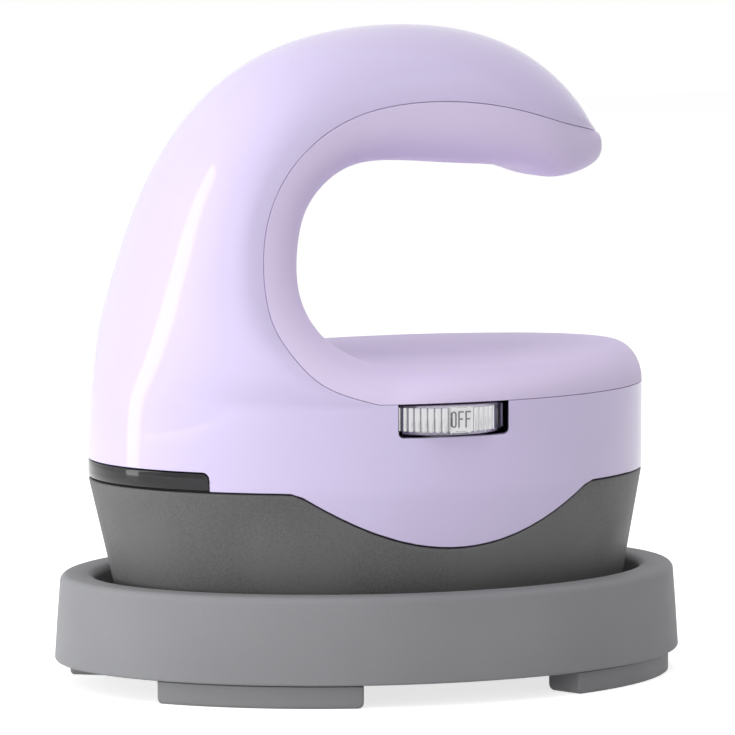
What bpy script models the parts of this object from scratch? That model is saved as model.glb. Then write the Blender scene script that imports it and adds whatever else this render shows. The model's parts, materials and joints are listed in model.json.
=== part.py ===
"""Mini handheld heat press with a C-shaped handle, standing in its oval safety tray.

Metres, +Z up. The origin is on the table, under the middle of the tray. +X points to the handle's open
end and -Y to the side with the dial. The body, the tray and everything stacked under the body share one
oval, whose half length and half width are all that changes from piece to piece.
"""

import math

import bmesh
import bpy
import numpy
from mathutils import Vector

# Body: the lavender shell above the dark skirt
BODY_LENGTH = 0.122
BODY_WIDTH = 0.0926
SHELL_WALL = 0.0022
SEAM_HEIGHT = 0.0615
SEAM_GAP = 0.0003
DECK_RISE = 0.0062
DECK_LIFT = 0.00175
DECK_LIFT_POWER = 1.5
DECK_FILLET = 0.0085
DECK_FRONT_FILLET = 0.0050
FRONT_TRIM = 0.0010
SPINE_LEAN = 0.0008
LEAN_START_HEIGHT = 0.0480

# Wavy joint between shell and skirt
WAVE_TOP = 0.0435
WAVE_DIP = 0.0119
WAVE_HALF_SPAN = 0.0332
WAVE_SHOULDER = 0.0004
WAVE_GAP = 0.00035
SKIRT_TAPER_INSET = 0.0054
SKIRT_FORWARD_SHIFT = 0.0008

# Handle: rise above the deck seam, reach of its tip, width of the grip
HANDLE_RISE = 0.0750
HANDLE_REACH = 0.0531
GRIP_WIDTH = 0.0430
NOSE_START = 0.0144
NOSE_OVERHANG = 0.0024

# Skirt
SKIRT_BOTTOM = 0.0172
SKIRT_WALL = 0.0024
SKIRT_EDGE_ROUND = 0.0008
WEB_BOTTOM = 0.0265
WEB_THICKNESS = 0.0025
TONGUE_WALL = 0.0013
TONGUE_RISE = 0.0012

# Fits
CLEARANCE = 0.0003
SCREW_CLEARANCE = 0.0003
CUT_OVERRUN = 0.0010
MERGE_DISTANCE = 0.000001

# Smoked window round the rear
LENS_HEIGHT = 0.0039
LENS_HALF_ANGLE = math.radians(45.5)
LENS_CORNER = 0.0016

# Dial and its slot
DIAL_X = -0.0011
DIAL_RADIUS = 0.0148
DIAL_PROUD = 0.0030
DIAL_THICKNESS = 0.0060
DIAL_CHAMFER = 0.0006
DIAL_FLUTES = 64
DIAL_FLUTE_DEPTH = 0.0004
DIAL_HUB_RADIUS = 0.0056
DIAL_HUB_DROP = 0.0010
DIAL_PANEL_WIDTH = 0.0056
DIAL_SETTINGS = 4
DIAL_STEP = math.radians(45.0)
SLOT_SIDE_GAP = 0.0010
SLOT_CORNER = 0.0012
SLOT_LOWER_GAP = 0.0006
SHAFT_RADIUS = 0.0030
SWITCH_RADIUS = 0.0053
SWITCH_COLLAR_RADIUS = 0.0042
SWITCH_COLLAR_HEIGHT = 0.0030
SWITCH_FLOOR = 0.0030

# Safety tray
TRAY_GAP = 0.0029
TRAY_BOTTOM = 0.0049
TRAY_TOP = 0.0229
TRAY_DRAFT = 0.0011
TRAY_OUTER_FILLET = 0.0016
TRAY_LOWER_ROUND = 0.0006
TRAY_RIM_WIDTH = 0.0084
TRAY_INNER_ROUND = 0.0017
TRAY_INNER_DRAFT = 0.0010
TRAY_FLOOR = 0.0032

# Feet under the tray
FOOT_INSET = 0.0018
FOOT_WIDTH = 0.0090
FOOT_ROUND = 0.0008
FOOT_HALF_ANGLE = math.radians(19.2)
FOOT_STEPS = 8
FOOT_REAR_ANGLE = math.radians(125.6)
FOOT_FRONT_ANGLE = math.radians(51.2)
FOOT_ANGLES = {
    "foot_far_rear": FOOT_REAR_ANGLE,
    "foot_far_front": FOOT_FRONT_ANGLE,
    "foot_near_rear": -FOOT_REAR_ANGLE,
    "foot_near_front": -FOOT_FRONT_ANGLE,
}
STUD_RADIUS = 0.0020
STUD_HEIGHT = 0.0020
STUD_ANGLE = math.radians(11.0)

# Liner and the hot stack above it
LINER_THICKNESS = 0.0018
LINER_INSET = 0.0030
PLATE_INSET = 0.0026
PLATE_THICKNESS = 0.0060
PLATE_ROUND = 0.0010
STACK_INSET = 0.0070
HEATER_THICKNESS = 0.0008
CLAMP_THICKNESS = 0.0020
PAD_THICKNESS = 0.0050
SHIELD_THICKNESS = 0.0008
PAD_WINDOW_LENGTH = 0.0340
PAD_WINDOW_WIDTH = 0.0150
FUSE_RADIUS = 0.0019
FUSE_LENGTH = 0.0120
PROBE_RADIUS = 0.0014
PROBE_LENGTH = 0.0090
SENSOR_OFFSET = 0.0080
SENSOR_ROUND_SHARE = 0.33

# Posts and screws
POST_MARGIN = 0.0065
POST_ANGLE = math.radians(38.0)
POST_RADIUS = 0.0033
SCREW_RADIUS = 0.0014
SCREW_HEAD_RADIUS = 0.0028
SCREW_HEAD_HEIGHT = 0.0018
SCREW_CROWN_SHARE = 0.4
SCREW_DRIVE_RADIUS = 0.0012
SCREW_DRIVE_DEPTH = 0.0009
PLATE_HOLE_DEPTH = 0.0042
PLATE_SCREW_ENGAGEMENT = 0.0035
BODY_POST_MARGIN = 0.0064
BODY_POST_ANGLE = math.radians(23.5)
BODY_POST_RADIUS = 0.0036
BODY_SCREW_LENGTH = 0.0160
REAR_POST_DROP = 0.0055
REAR_RIB_HEIGHT = 0.0070
REAR_RIB_WIDTH = 0.0030

# Control board and what it carries
BOARD_END_INSET = 0.0194
BOARD_SIDE_INSET = 0.0065
BOARD_BOTTOM = 0.0363
BOARD_THICKNESS = 0.0016
BOARD_BOSS_MARGIN = 0.0080
BOARD_BOSS_ANGLE = math.radians(38.5)
BOARD_BOSS_RADIUS = 0.0026
BOARD_SCREW_LENGTH = 0.0050
RELAY_SIZE = (0.0190, 0.0150, 0.0145)
RELAY_PLACE = (0.0175, 0.0010)
SUPPLY_SIZE = (0.0230, 0.0180, 0.0125)
SUPPLY_PLACE = (-0.0225, 0.0010)
TERMINAL_SIZE = (0.0080, 0.0170, 0.0090)
TERMINAL_PLACE = (0.0330, 0.0000)
MOTION_SIZE = (0.0060, 0.0060, 0.0045)
MOTION_PLACE = (0.0000, -0.0150)
SINK_LENGTH = 0.0200
SINK_DEPTH = 0.0090
SINK_HEIGHT = 0.0135
SINK_FIN = 0.0015
SINK_GAP = 0.0023
SINK_FINS = 3
SINK_PLACE = (-0.0010, 0.0040)
CAPACITOR_RADIUS = 0.0042
CAPACITOR_HEIGHT = 0.0130
CAPACITOR_X = -0.0115
CAPACITOR_EDGE = 0.0095
CAN_ROUND = 0.0006

# Indicator lamps behind the smoked window
LAMP_RADIUS = 0.0012
LAMP_LENGTH = 0.0043
LAMP_DOME_SHARE = 0.5
LAMP_HEIGHT = 0.0459
LAMP_WINDOW_GAP = 0.0006
LAMP_BOARD_THICKNESS = 0.0012
LAMP_BOARD_HEIGHT = 0.0080
LAMP_BOARD_MARGIN = 0.0005
BRACKET_SIDE_GAP = 0.0020
BRACKET_THICKNESS = 0.0012
BRACKET_FOOT = 0.0070

# Cord gland on the far side and the clamp inside
GLAND_X = -0.0011
GLAND_DROP = 0.0135
GLAND_BORE_RADIUS = 0.0034
GLAND_BARREL_RADIUS = 0.0055
GLAND_FLANGE_RADIUS = 0.0076
GLAND_FLANGE_THICKNESS = 0.0015
GLAND_COLLAR_LENGTH = 0.0035
GLAND_INNER_LENGTH = 0.0030
CORD_CLAMP_SIZE = (0.0190, 0.0056, 0.0046)
CORD_CLAMP_X = 0.0040
CORD_CLAMP_EDGE = 0.0090
CORD_CLAMP_SCREW_OFFSET = 0.0068
CLAMP_SCREW_LENGTH = 0.0056

# Heater leads
LEAD_RADIUS = 0.0009
LEAD_Y = 0.0050
LEAD_OFFSET = 0.0042
LEAD_HOLE_RADIUS = 0.0017
LEAD_BEND = 0.0030

# Mesh fineness
FRONT_STEPS = 36
REAR_STEPS = 26
HANDLE_ROWS = 27
NOSE_ROWS = 5
CORNER_STEPS = 4
OVAL_STEPS = 48
ROUND_SIDES = 16
SCREW_SIDES = 8
ARC_STEPS = 3
LENS_STEPS = 16
ANGLE_HALVINGS = 60
SHARP_ANGLE = math.radians(35.0)
# How far the middle of a quarter arc stands in from the square corner, as a share of its radius
ARC_INSET_SHARE = 0.293

# Where the deck seam leaves the flat and climbs the handle, as a share of the body's half length
SEAM_TURN_SHARE = -0.2836

# Handle stations from the deck seam to the tip. x shares are of the body's half length behind the middle
# and of the handle's reach in front of it. Seam and spine z shares are of HANDLE_RISE above the seam,
# palm z shares are of the rise above the deck.
SPINE_SHARES = (
    (-0.987, 0.000), (-0.959, 0.113), (-0.918, 0.240), (-0.852, 0.411), (-0.731, 0.640),
    (-0.490, 0.868), (-0.131, 0.988), (0.330, 0.995), (0.692, 0.900), (0.890, 0.760),
    (0.914, 0.729), (0.968, 0.693),
)
SEAM_SHARES = (
    (SEAM_TURN_SHARE, 0.000), (-0.462, 0.053), (-0.557, 0.143), (-0.598, 0.261), (-0.562, 0.481),
    (-0.402, 0.676), (-0.118, 0.787), (0.296, 0.796), (0.622, 0.747), (0.779, 0.720),
    (0.883, 0.705), (0.968, 0.693),
)
PALM_SHARES = (
    (-0.164, 0.000), (-0.269, 0.026), (-0.365, 0.093), (-0.415, 0.218), (-0.379, 0.374),
    (-0.311, 0.493), (-0.116, 0.591), (0.264, 0.586), (0.591, 0.562), (0.824, 0.535),
    (0.989, 0.586), (0.968, 0.657),
)
# Half width: shares of the body's half width and of the grip's half width
WIDTH_SHARES = (
    (0.959, 0.000), (0.800, 0.207), (0.500, 0.644), (0.250, 0.927), (0.080, 1.037),
    (0.000, 1.093), (0.000, 1.023), (0.000, 1.000), (0.000, 0.870), (0.000, 0.670),
    (0.000, 0.470), (0.000, 0.000),
)
# Underside corner: its share of the half width, and how square it is
CORNER_SHARES = (0.191, 0.230, 0.290, 0.380, 0.540, 0.720, 0.880, 0.900, 0.900, 0.880, 0.800, 0.700)
CORNER_POWERS = (2.0, 2.0, 2.0, 2.0, 2.2, 2.6, 3.0, 3.0, 3.0, 2.6, 2.4, 2.2)
# How far each station's back has left the body's oval for a plain ellipse
ELLIPSE_SHARES = (0.0, 0.25, 0.5, 0.75, 1.0, 1.0, 1.0, 1.0, 1.0, 1.0, 1.0, 1.0)
# Place of each station along the handle
STATION_SHARES = (0.0, 0.1, 0.2, 0.3, 0.4, 0.5, 0.6, 0.7, 0.8, 0.9, 0.95, 1.0)
# Station where the grip's plan begins to close in a rounded nose
NOSE_STATION = 9
# Where, on the way from the front to the handle, the deck's rows begin to lean
ROW_LEAN_START_SHARE = 0.45
# Bowl rows between the shell's lower edge and the seam
BOWL_ROW_SHARES = (0.45, 1.0)

BODY_HALF_LENGTH = BODY_LENGTH / 2
BODY_HALF_WIDTH = BODY_WIDTH / 2
SKIRT_HEIGHT = WAVE_TOP - SKIRT_BOTTOM
TRAY_GROWTH = TRAY_GAP + TRAY_RIM_WIDTH - SKIRT_TAPER_INSET * (WAVE_TOP - TRAY_TOP) / SKIRT_HEIGHT
TRAY_HALF_LENGTH = BODY_HALF_LENGTH + TRAY_GROWTH
TRAY_HALF_WIDTH = BODY_HALF_WIDTH + TRAY_GROWTH
PLATE_HALF_LENGTH = BODY_HALF_LENGTH - SKIRT_TAPER_INSET - PLATE_INSET
PLATE_HALF_WIDTH = BODY_HALF_WIDTH - SKIRT_TAPER_INSET - PLATE_INSET
BOARD_HALF_LENGTH = BODY_HALF_LENGTH - BOARD_END_INSET
BOARD_HALF_WIDTH = BODY_HALF_WIDTH - BOARD_SIDE_INSET
CAPACITOR_PLACE = (CAPACITOR_X, BOARD_HALF_WIDTH - CAPACITOR_EDGE)
CORD_CLAMP_PLACE = (CORD_CLAMP_X, BOARD_HALF_WIDTH - CORD_CLAMP_EDGE)
LEAD_X = TERMINAL_PLACE[0] + TERMINAL_SIZE[0] / 2 + LEAD_OFFSET
BOARD_TOP = BOARD_BOTTOM + BOARD_THICKNESS
WEB_TOP = WEB_BOTTOM + WEB_THICKNESS
DECK_TOP = SEAM_HEIGHT + DECK_RISE
LINER_BOTTOM = TRAY_BOTTOM + TRAY_FLOOR + CLEARANCE
PLATE_BOTTOM = LINER_BOTTOM + LINER_THICKNESS + CLEARANCE
PLATE_TOP = PLATE_BOTTOM + PLATE_THICKNESS
HEATER_BOTTOM = PLATE_TOP + CLEARANCE
CLAMP_BOTTOM = HEATER_BOTTOM + HEATER_THICKNESS + CLEARANCE
CLAMP_TOP = CLAMP_BOTTOM + CLAMP_THICKNESS
PAD_BOTTOM = CLAMP_TOP + CLEARANCE
SHIELD_BOTTOM = PAD_BOTTOM + PAD_THICKNESS + CLEARANCE
WINDOW_TOP = WAVE_TOP + LENS_HEIGHT
REAR_POST_TOP = SEAM_HEIGHT - REAR_POST_DROP
DIAL_TOP = SEAM_HEIGHT - CLEARANCE
DIAL_BOTTOM = DIAL_TOP - DIAL_THICKNESS
DIAL_Y = -(BODY_HALF_WIDTH + DIAL_PROUD - DIAL_RADIUS)
SLOT_BOTTOM = DIAL_BOTTOM - SLOT_LOWER_GAP
SLOT_HALF_WIDTH = math.sqrt(DIAL_RADIUS ** 2 - (BODY_HALF_WIDTH - SHELL_WALL + DIAL_Y) ** 2) + SLOT_SIDE_GAP
SWITCH_TOP = DIAL_BOTTOM - DIAL_HUB_DROP - CLEARANCE
GLAND_HEIGHT = SEAM_HEIGHT - GLAND_DROP
CORNERS = ((1, 1), (1, -1), (-1, 1), (-1, -1))


def clear_scene():
    """Remove everything that the scene starts with."""
    for thing in list(bpy.data.objects):
        bpy.data.objects.remove(thing, do_unlink=True)


def make_material(name, colour, roughness, metallic=0.0):
    """A plain shader in the piece's colour."""
    material = bpy.data.materials.new(name)
    material.use_nodes = True
    shader = material.node_tree.nodes["Principled BSDF"]
    shader.inputs["Base Color"].default_value = (*colour, 1.0)
    shader.inputs["Roughness"].default_value = roughness
    shader.inputs["Metallic"].default_value = metallic
    return material


def add_object(name, bm, material, origin=(0.0, 0.0, 0.0)):
    """Close the mesh, turn its faces outward and put it in the scene with its origin at a place."""
    bmesh.ops.remove_doubles(bm, verts=bm.verts, dist=MERGE_DISTANCE)
    bmesh.ops.recalc_face_normals(bm, faces=bm.faces)
    bmesh.ops.translate(bm, verts=bm.verts, vec=-Vector(origin))
    mesh = bpy.data.meshes.new(name)
    bm.to_mesh(mesh)
    bm.free()
    mesh.materials.append(material)
    mesh.shade_smooth()
    mesh.set_sharp_from_angle(angle=SHARP_ANGLE)
    piece = bpy.data.objects.new(name, mesh)
    piece.location = origin
    bpy.context.scene.collection.objects.link(piece)
    return piece


def combine(piece, tool, operation):
    """Join a tool solid to a piece, or cut it away, and remove the tool."""
    modifier = piece.modifiers.new(operation.title(), "BOOLEAN")
    modifier.operation = operation
    modifier.solver = "EXACT"
    modifier.object = tool
    tool.hide_render = True
    tool.display_type = "WIRE"
    bpy.context.view_layer.update()
    graph = bpy.context.evaluated_depsgraph_get()
    result = bpy.data.meshes.new_from_object(piece.evaluated_get(graph))
    piece.modifiers.clear()
    piece.data = result
    result.shade_smooth()
    result.set_sharp_from_angle(angle=SHARP_ANGLE)
    bpy.data.objects.remove(tool, do_unlink=True)


def tool_from(bm, material):
    """A cutter or an addition that combine() uses up."""
    return add_object("tool", bm, material)


def join_rings(bm, rings, closed=True):
    """Skin between neighbouring rings of equal count."""
    for low, high in zip(rings, rings[1:]):
        count = len(low)
        for index in range(count if closed else count - 1):
            after = (index + 1) % count
            bm.faces.new((low[index], low[after], high[after], high[index]))


def ring_solid(rings):
    """A closed solid from a stack of rings, with a flat cap at each end."""
    bm = bmesh.new()
    made = [[bm.verts.new(point) for point in ring] for ring in rings]
    join_rings(bm, made)
    bm.faces.new(reversed(made[0]))
    bm.faces.new(made[-1])
    return bm


def oval_point(half_length, half_width, angle):
    """Point of the oval whose outward direction there is the given angle."""
    middle = (half_length + half_width) / 2
    swing = (half_length - half_width) / 2
    reach = middle + swing * math.cos(2 * angle)
    slope = -2 * swing * math.sin(2 * angle)
    x = reach * math.cos(angle) - slope * math.sin(angle)
    y = reach * math.sin(angle) + slope * math.cos(angle)
    return x, y


def oval_bend_radius(half_length, half_width, angle):
    """Radius of curvature of the oval at an outward direction."""
    middle = (half_length + half_width) / 2
    swing = (half_length - half_width) / 2
    return middle - 3 * swing * math.cos(2 * angle)


def full_turn(steps):
    """Evenly spaced directions round a full turn."""
    return [2 * math.pi * index / steps for index in range(steps)]


def oval_ring(half_length, half_width, height, shift=0.0):
    """A level ring of the shared oval."""
    points = []
    for angle in full_turn(OVAL_STEPS):
        x, y = oval_point(half_length, half_width, angle)
        points.append((x + shift, y, height))
    return points


def oval_plate(half_length, half_width, bottom, top, rounding=0.0):
    """A flat oval sheet, its lower edge rounded where asked."""
    rings = []
    if rounding:
        for step in range(ARC_STEPS + 1):
            turn = math.pi / 2 * step / ARC_STEPS
            inset = rounding * (1 - math.sin(turn))
            lift = rounding * (1 - math.cos(turn))
            rings.append(oval_ring(half_length - inset, half_width - inset, bottom + lift))
    else:
        rings.append(oval_ring(half_length, half_width, bottom))
    rings.append(oval_ring(half_length, half_width, top))
    return ring_solid(rings)


def turned_ring(radius, height, x, y, sides):
    """A level circle of points."""
    return [(x + radius * math.cos(a), y + radius * math.sin(a), height) for a in full_turn(sides)]


def turned_solid(profile, x=0.0, y=0.0, sides=ROUND_SIDES):
    """A solid turned about an upright axis from (radius, height) pairs."""
    return ring_solid([turned_ring(radius, height, x, y, sides) for radius, height in profile])


def block(size, place, bottom):
    """A rectangular block standing at a height."""
    bm = bmesh.new()
    half_x = size[0] / 2
    half_y = size[1] / 2
    outline = [(half_x, half_y), (-half_x, half_y), (-half_x, -half_y), (half_x, -half_y)]
    rings = []
    for height in (bottom, bottom + size[2]):
        rings.append([bm.verts.new((place[0] + px, place[1] + py, height)) for px, py in outline])
    join_rings(bm, rings)
    bm.faces.new(reversed(rings[0]))
    bm.faces.new(rings[1])
    return bm


def several(solids):
    """Put separate solids into one mesh, for use as one cutter."""
    whole = bmesh.new()
    for solid in solids:
        mesh = bpy.data.meshes.new("part")
        solid.to_mesh(mesh)
        solid.free()
        whole.from_mesh(mesh)
        bpy.data.meshes.remove(mesh)
    return whole


def rods(places, radius, bottom, top, sides=SCREW_SIDES):
    """Upright rods at several places, as one cutter or addition."""
    return several([turned_solid([(radius, bottom), (radius, top)], x, y, sides) for x, y in places])


def corner_places(half_length, half_width, angle):
    """Four places on an ellipse, one in each quarter, at like angles."""
    x, y = half_length * math.cos(angle), half_width * math.sin(angle)
    return [(x * sx, y * sy) for sx, sy in CORNERS]


def plate_post_places():
    """Where the posts between plate and skirt stand, near the stack's rim."""
    inset = STACK_INSET + POST_MARGIN
    return corner_places(PLATE_HALF_LENGTH - inset, PLATE_HALF_WIDTH - inset, POST_ANGLE)


def body_post_places():
    """Where the posts stand that hold the skirt to the shell and the cover, inside the skirt's wall."""
    depth = SKIRT_TAPER_INSET * (WAVE_TOP - WEB_TOP) / SKIRT_HEIGHT
    inset = depth + SKIRT_WALL + BODY_POST_MARGIN
    return corner_places(BODY_HALF_LENGTH - inset, BODY_HALF_WIDTH - inset, BODY_POST_ANGLE)


def board_boss_places():
    """Where the control board is screwed down."""
    half_length, half_width = BOARD_HALF_LENGTH - BOARD_BOSS_MARGIN, BOARD_HALF_WIDTH - BOARD_BOSS_MARGIN
    return corner_places(half_length, half_width, BOARD_BOSS_ANGLE)


def curve_bends(values):
    """Second derivatives, at the stations, of the smooth curve through the values."""
    count = len(STATION_SHARES)
    system = numpy.eye(count)
    known = numpy.zeros(count)
    for i in range(1, count - 1):
        before = STATION_SHARES[i] - STATION_SHARES[i - 1]
        after = STATION_SHARES[i + 1] - STATION_SHARES[i]
        system[i, i - 1:i + 2] = (before / 6, (before + after) / 3, after / 6)
        known[i] = (values[i + 1] - values[i]) / after - (values[i] - values[i - 1]) / before
    return numpy.linalg.solve(system, known)


def read_curve(values, share):
    """Value at a share of the handle's length of the smooth curve through the stations' values."""
    bends = curve_bends(values)
    last = len(STATION_SHARES) - 1
    index = max(i for i in range(last) if share >= STATION_SHARES[i])
    span = STATION_SHARES[index + 1] - STATION_SHARES[index]
    after = (share - STATION_SHARES[index]) / span
    before = 1 - after
    bow = (before ** 3 - before) * bends[index] + (after ** 3 - after) * bends[index + 1]
    return before * values[index] + after * values[index + 1] + bow * span * span / 6


def along_x(share):
    """Place along X from a station's share."""
    return share * (BODY_HALF_LENGTH if share < 0 else HANDLE_REACH)


def station_points(shares, base, rise):
    """Side-view points of a handle curve."""
    return [Vector((along_x(x), base + rise * z)) for x, z in shares]


class Handle:
    """Side view and widths of the C-shaped handle, read at any share of its length."""

    def __init__(self):
        self.spine = station_points(SPINE_SHARES, SEAM_HEIGHT, HANDLE_RISE)
        self.seam = station_points(SEAM_SHARES, SEAM_HEIGHT, HANDLE_RISE)
        self.palm = station_points(PALM_SHARES, DECK_TOP, HANDLE_RISE - DECK_RISE)
        self.spine[-1] = self.seam[-1].copy()
        self.palm[-1] = self.seam[-1] - Vector((0.0, SEAM_GAP))
        self.widths = [b * BODY_HALF_WIDTH + g * GRIP_WIDTH / 2 for b, g in WIDTH_SHARES]

    def nose_width(self, x, height):
        """Width of the rounded nose at a place, as a share of its widest. Below the seam it reaches further."""
        low, high = self.palm[NOSE_STATION + 1].y, self.seam[-1].y
        climb = min(max((height - low) / (high - low), 0.0), 1.0)
        tip = self.seam[-1].x + NOSE_OVERHANG * math.sqrt(1 - climb * climb)
        along = max(x - NOSE_START, 0.0) / (tip - NOSE_START)
        return math.sqrt(max(1 - along * along, 0.0))

    def rounded(self, point, seam):
        """A point of the cover drawn in toward the middle plane where the nose narrows."""
        if point.y == 0:
            return point
        narrowing = self.nose_width(point.x, point.z) / self.nose_width(seam.x, seam.y)
        return Vector((point.x, point.y * narrowing, point.z))

    def at(self, share):
        """Spine, seam and palm points, half width and corner there."""
        spine, seam, palm = (
            Vector((read_curve([p.x for p in points], share), read_curve([p.y for p in points], share)))
            for points in (self.spine, self.seam, self.palm)
        )
        width = max(read_curve(self.widths, share), 0.0)
        if share > STATION_SHARES[NOSE_STATION]:
            start = self.seam[NOSE_STATION]
            narrowing = self.nose_width(seam.x, seam.y) / self.nose_width(start.x, start.y)
            width = self.widths[NOSE_STATION] * narrowing
        corner = read_curve(CORNER_SHARES, share) * width
        power = read_curve(CORNER_POWERS, share)
        return spine, seam, palm, width, corner, power


def handle_shares():
    """Where the handle's rows lie along it: evenly up to the nose, then closer together toward its tip."""
    start = STATION_SHARES[NOSE_STATION]
    even = [start * i / HANDLE_ROWS for i in range(1, HANDLE_ROWS + 1)]
    return even + [1 - (1 - start) * (1 - j / NOSE_ROWS) ** 2 for j in range(1, NOSE_ROWS + 1)]


def seam_turn_angle():
    """Outward direction of the body's oval where the seam starts to climb."""
    target = SEAM_TURN_SHARE * BODY_HALF_LENGTH
    low, high = math.pi / 2, math.pi
    for _ in range(ANGLE_HALVINGS):
        middle = (low + high) / 2
        if oval_point(BODY_HALF_LENGTH, BODY_HALF_WIDTH, middle)[0] > target:
            low = middle
        else:
            high = middle
    return low


TURN_ANGLE = seam_turn_angle()


def bowl_angles():
    """Directions round the body: the front stretch, then the rear stretch that the handle continues."""
    front = [-TURN_ANGLE + 2 * TURN_ANGLE * i / FRONT_STEPS for i in range(FRONT_STEPS)]
    rear_span = 2 * (math.pi - TURN_ANGLE)
    rear = [TURN_ANGLE + rear_span * i / REAR_STEPS for i in range(REAR_STEPS)]
    return front + rear


def soft_positive(value, softness):
    """Value where it is positive, nothing where it is negative, with a soft change between."""
    return (value + math.sqrt(value * value + softness * softness)) / 2


def edge_height(x):
    """Height of the wavy joint at a place along the body."""
    dip = WAVE_DIP * (1 - (x / WAVE_HALF_SPAN) ** 2)
    return WAVE_TOP - soft_positive(dip, WAVE_SHOULDER)


def trimmed(x):
    """A place along the body with its front half drawn back a little."""
    share = max(x, 0.0) / BODY_HALF_LENGTH
    return x - FRONT_TRIM * share * share


def deck_height(x):
    """Height of the deck at a place along the body: it lifts a little toward the front."""
    return DECK_TOP + DECK_LIFT * (max(x, 0.0) / BODY_HALF_LENGTH) ** DECK_LIFT_POWER


def skin_point(angle, height, inset):
    """Point of the body's skin: upright above the wave's shoulders, drawn in below them."""
    depth = soft_positive(WAVE_TOP - height, WAVE_SHOULDER)
    drawn_in = inset + SKIRT_TAPER_INSET * depth / SKIRT_HEIGHT
    x, y = oval_point(BODY_HALF_LENGTH - drawn_in, BODY_HALF_WIDTH - drawn_in, angle)
    x = trimmed(x) + SKIRT_FORWARD_SHIFT * depth / SKIRT_HEIGHT
    rise = max(height - LEAN_START_HEIGHT, 0.0) / (SEAM_HEIGHT - LEAN_START_HEIGHT)
    x += SPINE_LEAN * rise * rise * max(-math.cos(angle), 0.0) ** 2
    return Vector((x, y, height))


def bowl_edge(angle, inset, drop=0.0):
    """Point of the wavy edge in a direction."""
    x = oval_point(BODY_HALF_LENGTH, BODY_HALF_WIDTH, angle)[0]
    return skin_point(angle, edge_height(x) - drop, inset)


def back_arc():
    """Unit arcs over the handle's back: across, outward on the oval and outward on an ellipse."""
    turn_x, turn_y = oval_point(BODY_HALF_LENGTH, BODY_HALF_WIDTH, TURN_ANGLE)
    arcs = []
    for step in range(REAR_STEPS + 1):
        angle = TURN_ANGLE + 2 * (math.pi - TURN_ANGLE) * step / REAR_STEPS
        x, y = oval_point(BODY_HALF_LENGTH, BODY_HALF_WIDTH, angle)
        across = y / turn_y
        on_oval = (turn_x - x) / (turn_x + BODY_HALF_LENGTH)
        on_ellipse = math.sqrt(max(1 - across * across, 0.0))
        arcs.append((across, on_oval, on_ellipse))
    return arcs


def back_row(handle, share, inset):
    """One arc of the shell from the far seam over the spine to the near seam."""
    spine, seam, _, width, _, _ = handle.at(share)
    outward = spine - seam
    depth = outward.length
    if min(depth, width) - inset < CLEARANCE:
        middle = Vector((seam.x, 0.0, seam.y))
        return [middle] * (REAR_STEPS + 1)
    reach = outward * ((depth - inset) / depth)
    half = width - inset
    mix = min(max(read_curve(ELLIPSE_SHARES, share), 0.0), 1.0)
    row = []
    for across, on_oval, on_ellipse in back_arc():
        out = on_oval + (on_ellipse - on_oval) * mix
        row.append(Vector((seam.x + reach.x * out, half * across, seam.y + reach.y * out)))
    return row


def shell_skin(bm, handle, inset):
    """The shell's outer or inner skin. Returns its lower edge and its seam as closed loops of vertices."""
    angles = bowl_angles()
    shoulder = WAVE_TOP + WAVE_SHOULDER
    middle = (WINDOW_TOP + SEAM_HEIGHT) / 2
    rows = [[bowl_edge(angle, inset) for angle in angles]]
    for share in BOWL_ROW_SHARES:
        rows.append([
            skin_point(a, low.z + (shoulder - low.z) * share, inset) for a, low in zip(angles, rows[0])
        ])
    rows.append([skin_point(angle, middle, inset) for angle in angles])
    rows.append([skin_point(angle, SEAM_HEIGHT, inset) for angle in angles])
    bowl = [[bm.verts.new(point) for point in row] for row in rows]
    join_rings(bm, bowl)
    last = [bowl[-1][(FRONT_STEPS + i) % len(angles)] for i in range(REAR_STEPS + 1)]
    far_seam, near_seam = [], []
    for share in handle_shares():
        points = back_row(handle, share, inset)
        row = [bm.verts.new(point) for point in points]
        join_rings(bm, [last, row], closed=False)
        far_seam.append(row[0])
        near_seam.append(row[-1])
        last = row
    front = [bowl[-1][(FRONT_STEPS - i) % len(angles)] for i in range(FRONT_STEPS + 1)]
    seam = list(reversed(far_seam)) + front + near_seam
    return bowl[0], seam


def bridge_loops(bm, outer, inner, closed=True):
    """Flat rim between two chains of vertices of equal count."""
    join_rings(bm, [outer, inner], closed)


def add_screw(name, material, x, y, seat, length, upward=False):
    """A pan-head screw: its head sits on a seat, its shank runs down from there, or up."""
    way = -1.0 if upward else 1.0
    crown = SCREW_HEAD_HEIGHT * SCREW_CROWN_SHARE
    profile = [
        (SCREW_RADIUS, -length), (SCREW_RADIUS, 0.0), (SCREW_HEAD_RADIUS, 0.0),
        (SCREW_HEAD_RADIUS, SCREW_HEAD_HEIGHT - crown),
        (SCREW_HEAD_RADIUS - crown, SCREW_HEAD_HEIGHT),
        (SCREW_DRIVE_RADIUS, SCREW_HEAD_HEIGHT),
        (SCREW_DRIVE_RADIUS, SCREW_HEAD_HEIGHT - SCREW_DRIVE_DEPTH),
    ]
    bm = turned_solid([(radius, seat + way * height) for radius, height in profile], x, y, SCREW_SIDES)
    return add_object(name, bm, material)


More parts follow.
